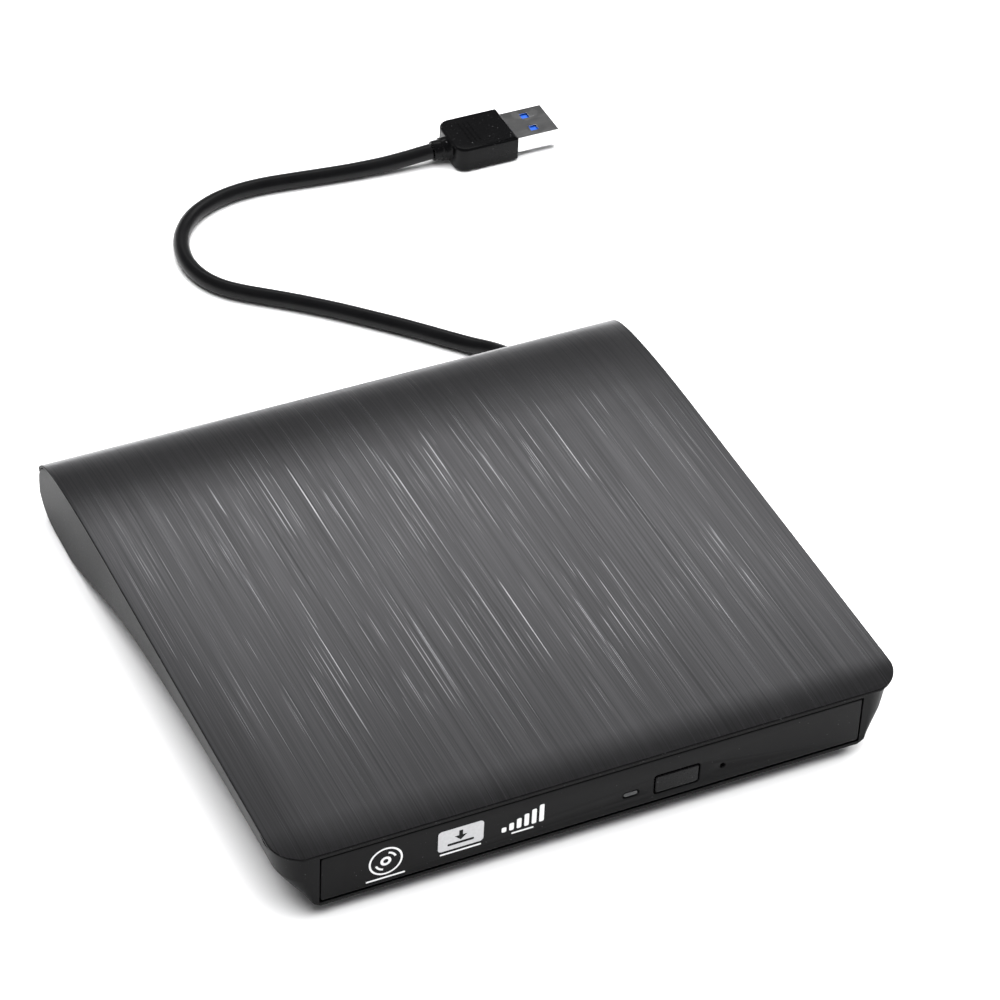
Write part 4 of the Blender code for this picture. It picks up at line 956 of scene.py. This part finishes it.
def make_turntable():
    """The turntable: a disc seat with a rubber ring, and a hub with three sprung jaws round its crown."""
    _, high, spindle = node_box("turntable_hub")
    at, seat_r, crown = upright(spindle), high.x - spindle.x, high.z
    line = [(0.0, crown - 0.5), (1.4, crown - 0.5), (1.7, crown - 0.1), (2.0, crown), (4.9, crown)]
    line += [(4.9 + 1.9 * sin(radians(a)), crown - 1.1 + 1.1 * cos(radians(a))) for a in range(15, 91, 15)]
    line += [(7.3, 14.2), (7.3, SEAT_Z + 0.2), (7.5, SEAT_Z), (seat_r - 0.25, SEAT_Z), (seat_r, SEAT_Z - 0.2),
             (seat_r, 12.4), (seat_r - 0.1, 12.3), (NECK_R, 12.3), (NECK_R, 10.0), (10.3, 9.9), (0.0, 9.9)]
    hub = shaped("hub_and_seat", "hub_plastic", turned, line, 96, at, angle=28.0)
    slots = []
    for turn in JAW_TURNS:
        slot = cutter(box, (4.4, -1.9, SEAT_Z + 0.15), (9.0, 1.9, crown - 0.75))
        slot.data.transform(Matrix.Translation(Vector((spindle.x, spindle.y, 0.0)) * MM)
                            @ Matrix.Rotation(radians(turn), 4, "Z"))
        slots.append(slot)
    cut(hub, slots)
    place(hub, "turntable", "hub_plastic", "turntable_hub")
    ring = [(seat_r - 0.6, SEAT_Z - 0.05), (seat_r - 0.6, SEAT_Z + 0.14), (seat_r - 0.75, SEAT_Z + 0.22),
            (NECK_R, SEAT_Z + 0.22), (10.25, SEAT_Z + 0.14), (10.25, SEAT_Z - 0.05)]
    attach(shaped("seat_ring", "rubber", turned, ring, 96, at, angle=40.0), "turntable")
    bm = bmesh.new()
    for turn in JAW_TURNS:
        made = box(bm, (4.7, -1.5, SEAT_Z + 0.3), (7.75, 1.5, crown - 1.0))
        for vert in made:
            if vert.co.x > 7 and vert.co.z > SEAT_Z + 1:
                vert.co.x -= 1.1
        bmesh.ops.rotate(bm, verts=made, cent=(0, 0, 0), matrix=Matrix.Rotation(radians(turn), 3, "Z"))
        bmesh.ops.translate(bm, verts=made, vec=(spindle.x, spindle.y, 0.0))
    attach(soften(add_mesh("hub_jaws", bm, "bright_steel"), 0.25, 3), "turntable")


def make_lead_screw():
    """The pickup's lead screw: a rod with a rounded thread between plain ends."""
    u_from, u_to = SCREW_U
    steps, sides = 240, 28
    turn, rings = traverse_frame(), []
    for i in range(steps + 1):
        u = u_from + (u_to - u_from) * i / steps
        plain = min(1.0, max(0.0, (min(u - u_from, u_to - u) - PLAIN_END) / THREAD_FADE))
        ring = []
        for j in range(sides):
            a = 2 * pi * j / sides
            groove = max(0.0, cos(2 * pi * u / THREAD_PITCH - a)) ** 2
            r = SCREW_R - THREAD_DEPTH * groove * plain
            ring.append(turn @ Vector((u, SCREW_V + r * cos(a), SCREW_Z + r * sin(a))))
        rings.append(ring)
    place(shaped("thread_rod", "bright_steel", loft, rings, angle=60.0), "feed_screw", "bright_steel",
          "lead_screw")


def make_pickup_details():
    """On the pickup: a rim round the lens, and the yoke's two magnets."""
    _, high, lens = node_box("objective_lens")
    rim = [(2.25, high.z - 0.85), (2.25, high.z - 0.3), (2.4, high.z - 0.2), (2.75, high.z - 0.2),
           (2.9, high.z - 0.3), (2.9, high.z - 0.85)]
    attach(shaped("lens_rim", "hub_plastic", turned, rim, 48, upright(lens), angle=40.0), "lens")
    top = node_box("pickup_body")[1].z
    bm = bmesh.new()
    for u in (18.4, 30.2):
        made = box(bm, (u - 0.7, -3.0, top - 0.6), (u + 0.3, 3.0, top + 0.35))
        bmesh.ops.transform(bm, verts=made, matrix=traverse_frame())
    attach(soften(add_mesh("yoke_magnets", bm, "bright_steel"), 0.12, 2), "pickup")


def make_screws():
    """Every screw: a domed head with a cross recess, and its shank."""
    for name, facing, head_z, shank_r in SCREWS:
        low, high, middle = node_box(name)
        radius = (high.x - low.x) / 2
        face, tip = (low.z, high.z) if facing < 0 else (high.z, low.z)
        line = [(0.0, 0.0), (radius * 0.45, 0.02), (radius * 0.75, 0.09), (radius * 0.92, 0.22),
                (radius, 0.4), (radius, head_z), (shank_r, head_z), (shank_r, abs(tip - face)),
                (0.0, abs(tip - face))]
        profile = [(r, face - facing * depth) for r, depth in line]
        screw = shaped(name + "_cross", "sheet_steel", turned, profile, 48, upright(middle), angle=40.0)
        deep, arm, blade = 0.55 * head_z, 0.55 * radius, 0.16 * radius
        for half_x, half_y in ((arm, blade), (blade, arm)):
            cut(screw, [cutter(box, (middle.x - half_x, middle.y - half_y, face - deep),
                               (middle.x + half_x, middle.y + half_y, face + deep))])
        place(screw, "case", "sheet_steel", name)


# ---- lead

def make_lead():
    """The lead along its route, its ribbed strain relief, and the plug at its end."""
    curve = bpy.data.curves.new("lead", "CURVE")
    curve.dimensions = "3D"
    curve.bevel_depth = CORD_D / 2
    curve.bevel_resolution = 6
    curve.use_fill_caps = True
    route = smooth_line(CORD_ROUTE, 12)
    spline = curve.splines.new("POLY")
    spline.points.add(len(route) - 1)
    for point, at in zip(spline.points, route):
        point.co = (*at, 1.0)
    curve.materials.append(MATERIALS["cable_jacket"])
    lead = add_object("lead", curve)
    place(lead, "case", "cable_jacket", "usb_cable")

    low, high, middle = node_box("strain_relief")
    collar_r = (high.x - low.x) / 2
    tip_r, root_r, collar_y, ribs = 2.5, 2.9, low.y + 1.0, 5
    ribs_from, root_to = 69.2, 68.8
    profile = [(CORD_D / MM / 2 + 0.1, high.y), (tip_r, high.y - 0.15)]
    pitch = (high.y - ribs_from) / ribs
    for i in range(ribs):
        outer = tip_r + (root_r - tip_r) * (i + 1) / ribs
        y = high.y - 0.3 - pitch * i
        profile += [(outer, y - 0.1), (outer, y - pitch * 0.52), (outer - 0.3, y - pitch * 0.62),
                    (outer - 0.3, y - pitch * 0.9)]
    profile += [(root_r, root_to), (root_r, collar_y), (collar_r - 0.1, collar_y), (collar_r, collar_y - 0.1),
                (collar_r, low.y)]
    backwards = Matrix.Translation((middle.x, 0.0, middle.z)) @ Matrix.Rotation(pi / 2, 4, "X")
    relief = shaped("relief_boot", "cable_jacket", turned, [(r, -y) for r, y in profile], 40, backwards)
    place(relief, "case", "rubber", "strain_relief")
    plug = make_plug()


def make_plug():
    """The plug's pieces: a moulded body with grips, and a metal shell round a tongue with four contacts."""
    low, high, _ = node_box("plug_overmold")
    shell_low, shell_high, _ = node_box("plug_shell")
    y, z = (low.y + high.y) / 2, (low.z + high.z) / 2
    back, front, half = PLUG_BACK_X, high.x, (high.y - low.y) / 2
    tight, wide = PLUG_FRONT_CORNER, PLUG_BACK_CORNER
    corners = [(front - tight, y - half + tight, tight, -90), (front - tight, y + half - tight, tight, 0),
               (back + wide, y + half - wide, wide, 90), (back + wide, y - half + wide, wide, 180)]
    outline = [(cx + r * cos(radians(a + 90 * i / 10)), cy + r * sin(radians(a + 90 * i / 10)))
               for cx, cy, r, a in corners for i in range(11)]
    body = plate("plug_body", [outline], low.z, high.z, "plug_gloss", 0.75, "XY", 5)
    collar = [(2.35, low.x), (2.6, low.x + 0.2), (2.7, low.x + 0.5), (2.7, low.x + 2.2), (3.1, low.x + 2.5),
              (3.1, back + 1.5)]
    neck = cutter(turned, collar, 40, Matrix.Translation((0.0, y, z)) @ Matrix.Rotation(pi / 2, 4, "Y"))
    seat = cutter(box, (shell_low.x - 0.3, shell_low.y - 0.15, shell_low.z - 0.15),
                  (front + 3, shell_high.y + 0.15, shell_high.z + 0.15))
    cut(body, [neck], "UNION")
    cut(body, [seat])
    bars = [rounded(0.5, half * 1.25, 0.24, (back + 5.0 + 1.3 * i, y)) for i in range(3)]
    grips = plate("plug_grips", bars, high.z - 0.2, high.z, "plug_gloss", 0.05)
    place(body, "case", "cable_jacket", "plug_overmold")
    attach(grips, "case")

    sleeve = shaped("plug_sleeve", "plug_metal", box, shell_low, shell_high)
    inner = cutter(box, (shell_low.x + 1, shell_low.y + SHELL_WALL, shell_low.z + SHELL_WALL),
                   (shell_high.x + 5, shell_high.y - SHELL_WALL, shell_high.z - SHELL_WALL))
    hole_from, hole_to = SHELL_HOLE_X
    holes = [cutter(box, (front + hole_from, y + side * SHELL_HOLE_Y - SHELL_HOLE_HALF, level - 0.6),
                    (front + hole_to, y + side * SHELL_HOLE_Y + SHELL_HOLE_HALF, level + 0.6))
             for side in (-1, 1) for level in (shell_low.z, shell_high.z)]
    seam = cutter(box, (front - 2, y - 0.06, shell_low.z - 1),
                  (shell_high.x + 1, y + 0.06, shell_low.z + 0.12))
    cut(sleeve, [inner, *holes, seam])
    place(soften(sleeve, 0.12, 2, 40.0), "case", "plug_metal", "plug_shell")

    tongue_low, tongue_high, _ = node_box("plug_tongue")
    tongue = soften(shaped("plug_core", "plug_insert", box, tongue_low, tongue_high), 0.12, 2)
    place(tongue, "case", "plug_insert", "plug_tongue")
    pads = [rounded(8.0, 1.1, 0.15, (tongue_high.x - 4.6, y + 2.5 * i - 3.75), 3) for i in range(4)]
    contacts = plate("plug_contacts", pads, tongue_low.z - 0.05, tongue_low.z + 0.1, "gold_plate")
    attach(contacts, "case")
    return [body, grips, sleeve, tongue, contacts]


# ---- carried-over parts

def finish_nodes():
    """Every CAD node that still shows keeps its mesh and its slot's finish, on welded, rounded edges."""
    widths = {"flex_ribbon": 0.03, "tray_shield": 0.1, "rail_left": 0.12, "rail_right": 0.12,
              "drive_lid": 0.12, "drive_chassis": 0.12}
    for name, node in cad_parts.items():
        if node.hide_render:
            continue
        mat = MATERIALS[node.material_slots[0].material.name.split(".")[0]]
        for attribute in [a for a in node.data.attributes if a.name == "custom_normal"]:
            node.data.attributes.remove(attribute)
        node.data.shade_smooth()
        weld = node.modifiers.new("weld", "WELD")
        weld.merge_threshold = CAD_WELD * MM
        soften(node, widths.get(name, 0.15), 2)
        for material_slot in node.material_slots:
            material_slot.material = mat


# ---- stage, lights and camera

def make_stage():
    """A plain pale floor, and surroundings that are bright at the horizon and dark overhead."""
    floor_surface = Surface("floor", Roughness=0.6, Specular_IOR_Level=0.2)
    cloud = floor_surface.noise(3)
    floor_surface.colour(floor_surface.blend(cloud, (0.90, 0.90, 0.905), (0.92, 0.92, 0.925)))
    bm = bmesh.new()
    bmesh.ops.create_circle(bm, cap_ends=True, segments=96, radius=FLOOR_R)
    bmesh.ops.translate(bm, vec=(0, 0, FLOOR_AT), verts=bm.verts)
    floor = add_mesh("floor", bm, "floor")

    world = bpy.data.worlds.new("studio")
    world.use_nodes = True
    tree = world.node_tree
    sky = tree.nodes["Background"]
    direction = tree.nodes.new("ShaderNodeTexCoord").outputs["Generated"]
    split = tree.nodes.new("ShaderNodeSeparateXYZ")
    ramp = tree.nodes.new("ShaderNodeValToRGB")
    tree.links.new(direction, split.inputs["Vector"])
    tree.links.new(split.outputs["Z"], ramp.inputs["Fac"])
    tree.links.new(ramp.outputs["Color"], sky.inputs["Color"])
    while len(ramp.color_ramp.elements) < len(SKY_TONES):
        ramp.color_ramp.elements.new(0.5)
    for element, (position, tone) in zip(ramp.color_ramp.elements, SKY_TONES):
        element.position = position
        element.color = (tone, tone, tone * 1.01, 1.0)
    sky.inputs["Strength"].default_value = 1.0
    bpy.context.scene.world = world
    bpy.context.scene.view_settings.view_transform = "Standard"


def add_light(name, kind, at, aim, power):
    """A lamp at a place, aimed at another; the camera doesn't see it."""
    light = bpy.data.lights.new(name, kind)
    light.energy = power
    lamp = add_object(name, light)
    lamp.location = at
    lamp.rotation_mode = "QUATERNION"
    lamp.rotation_quaternion = (Vector(aim) - Vector(at)).to_track_quat("-Z", "Y")
    lamp.visible_camera = False
    return lamp


def make_lights():
    """A broad soft light from above that no gloss mirrors, and a low strip behind that the cover mirrors."""
    overhead = add_light("overhead", "SUN", (0.3, 0.2, 2.2), (0, 0, 0), 7.0)
    overhead.data.angle = radians(80)
    overhead.visible_glossy = False
    strip = add_light("back_strip", "AREA", (0.20, 0.40, 0.395), (0, 0, 0.02), 0.5)
    strip.data.shape = "RECTANGLE"
    strip.data.size, strip.data.size_y = 0.42, 0.10


def make_camera():
    """The camera, from the front left and above, rolled a little."""
    data = bpy.data.cameras.new("camera")
    data.sensor_width = SENSOR
    data.lens = FOCAL_LENGTH
    azimuth, elevation, roll = (radians(angle) for angle in CAMERA_TURN)
    back = Vector((sin(azimuth) * cos(elevation), -cos(azimuth) * cos(elevation), sin(elevation)))
    right = Vector((0, 0, 1)).cross(back).normalized()
    up = back.cross(right)
    turned_right, turned_up = cos(roll) * right + sin(roll) * up, cos(roll) * up - sin(roll) * right
    turn = Matrix((turned_right, turned_up, back)).transposed().to_4x4()
    camera = add_object("camera", data)
    camera.matrix_world = Matrix.Translation(CAMERA_AT) @ turn
    bpy.context.scene.camera = camera


make_camera()
make_lead()
make_cover()
make_base()
make_feet()
make_panel()
make_marks()
make_tray()
make_turntable()
make_lead_screw()
make_pickup_details()
make_screws()
finish_nodes()
make_stage()
make_lights()
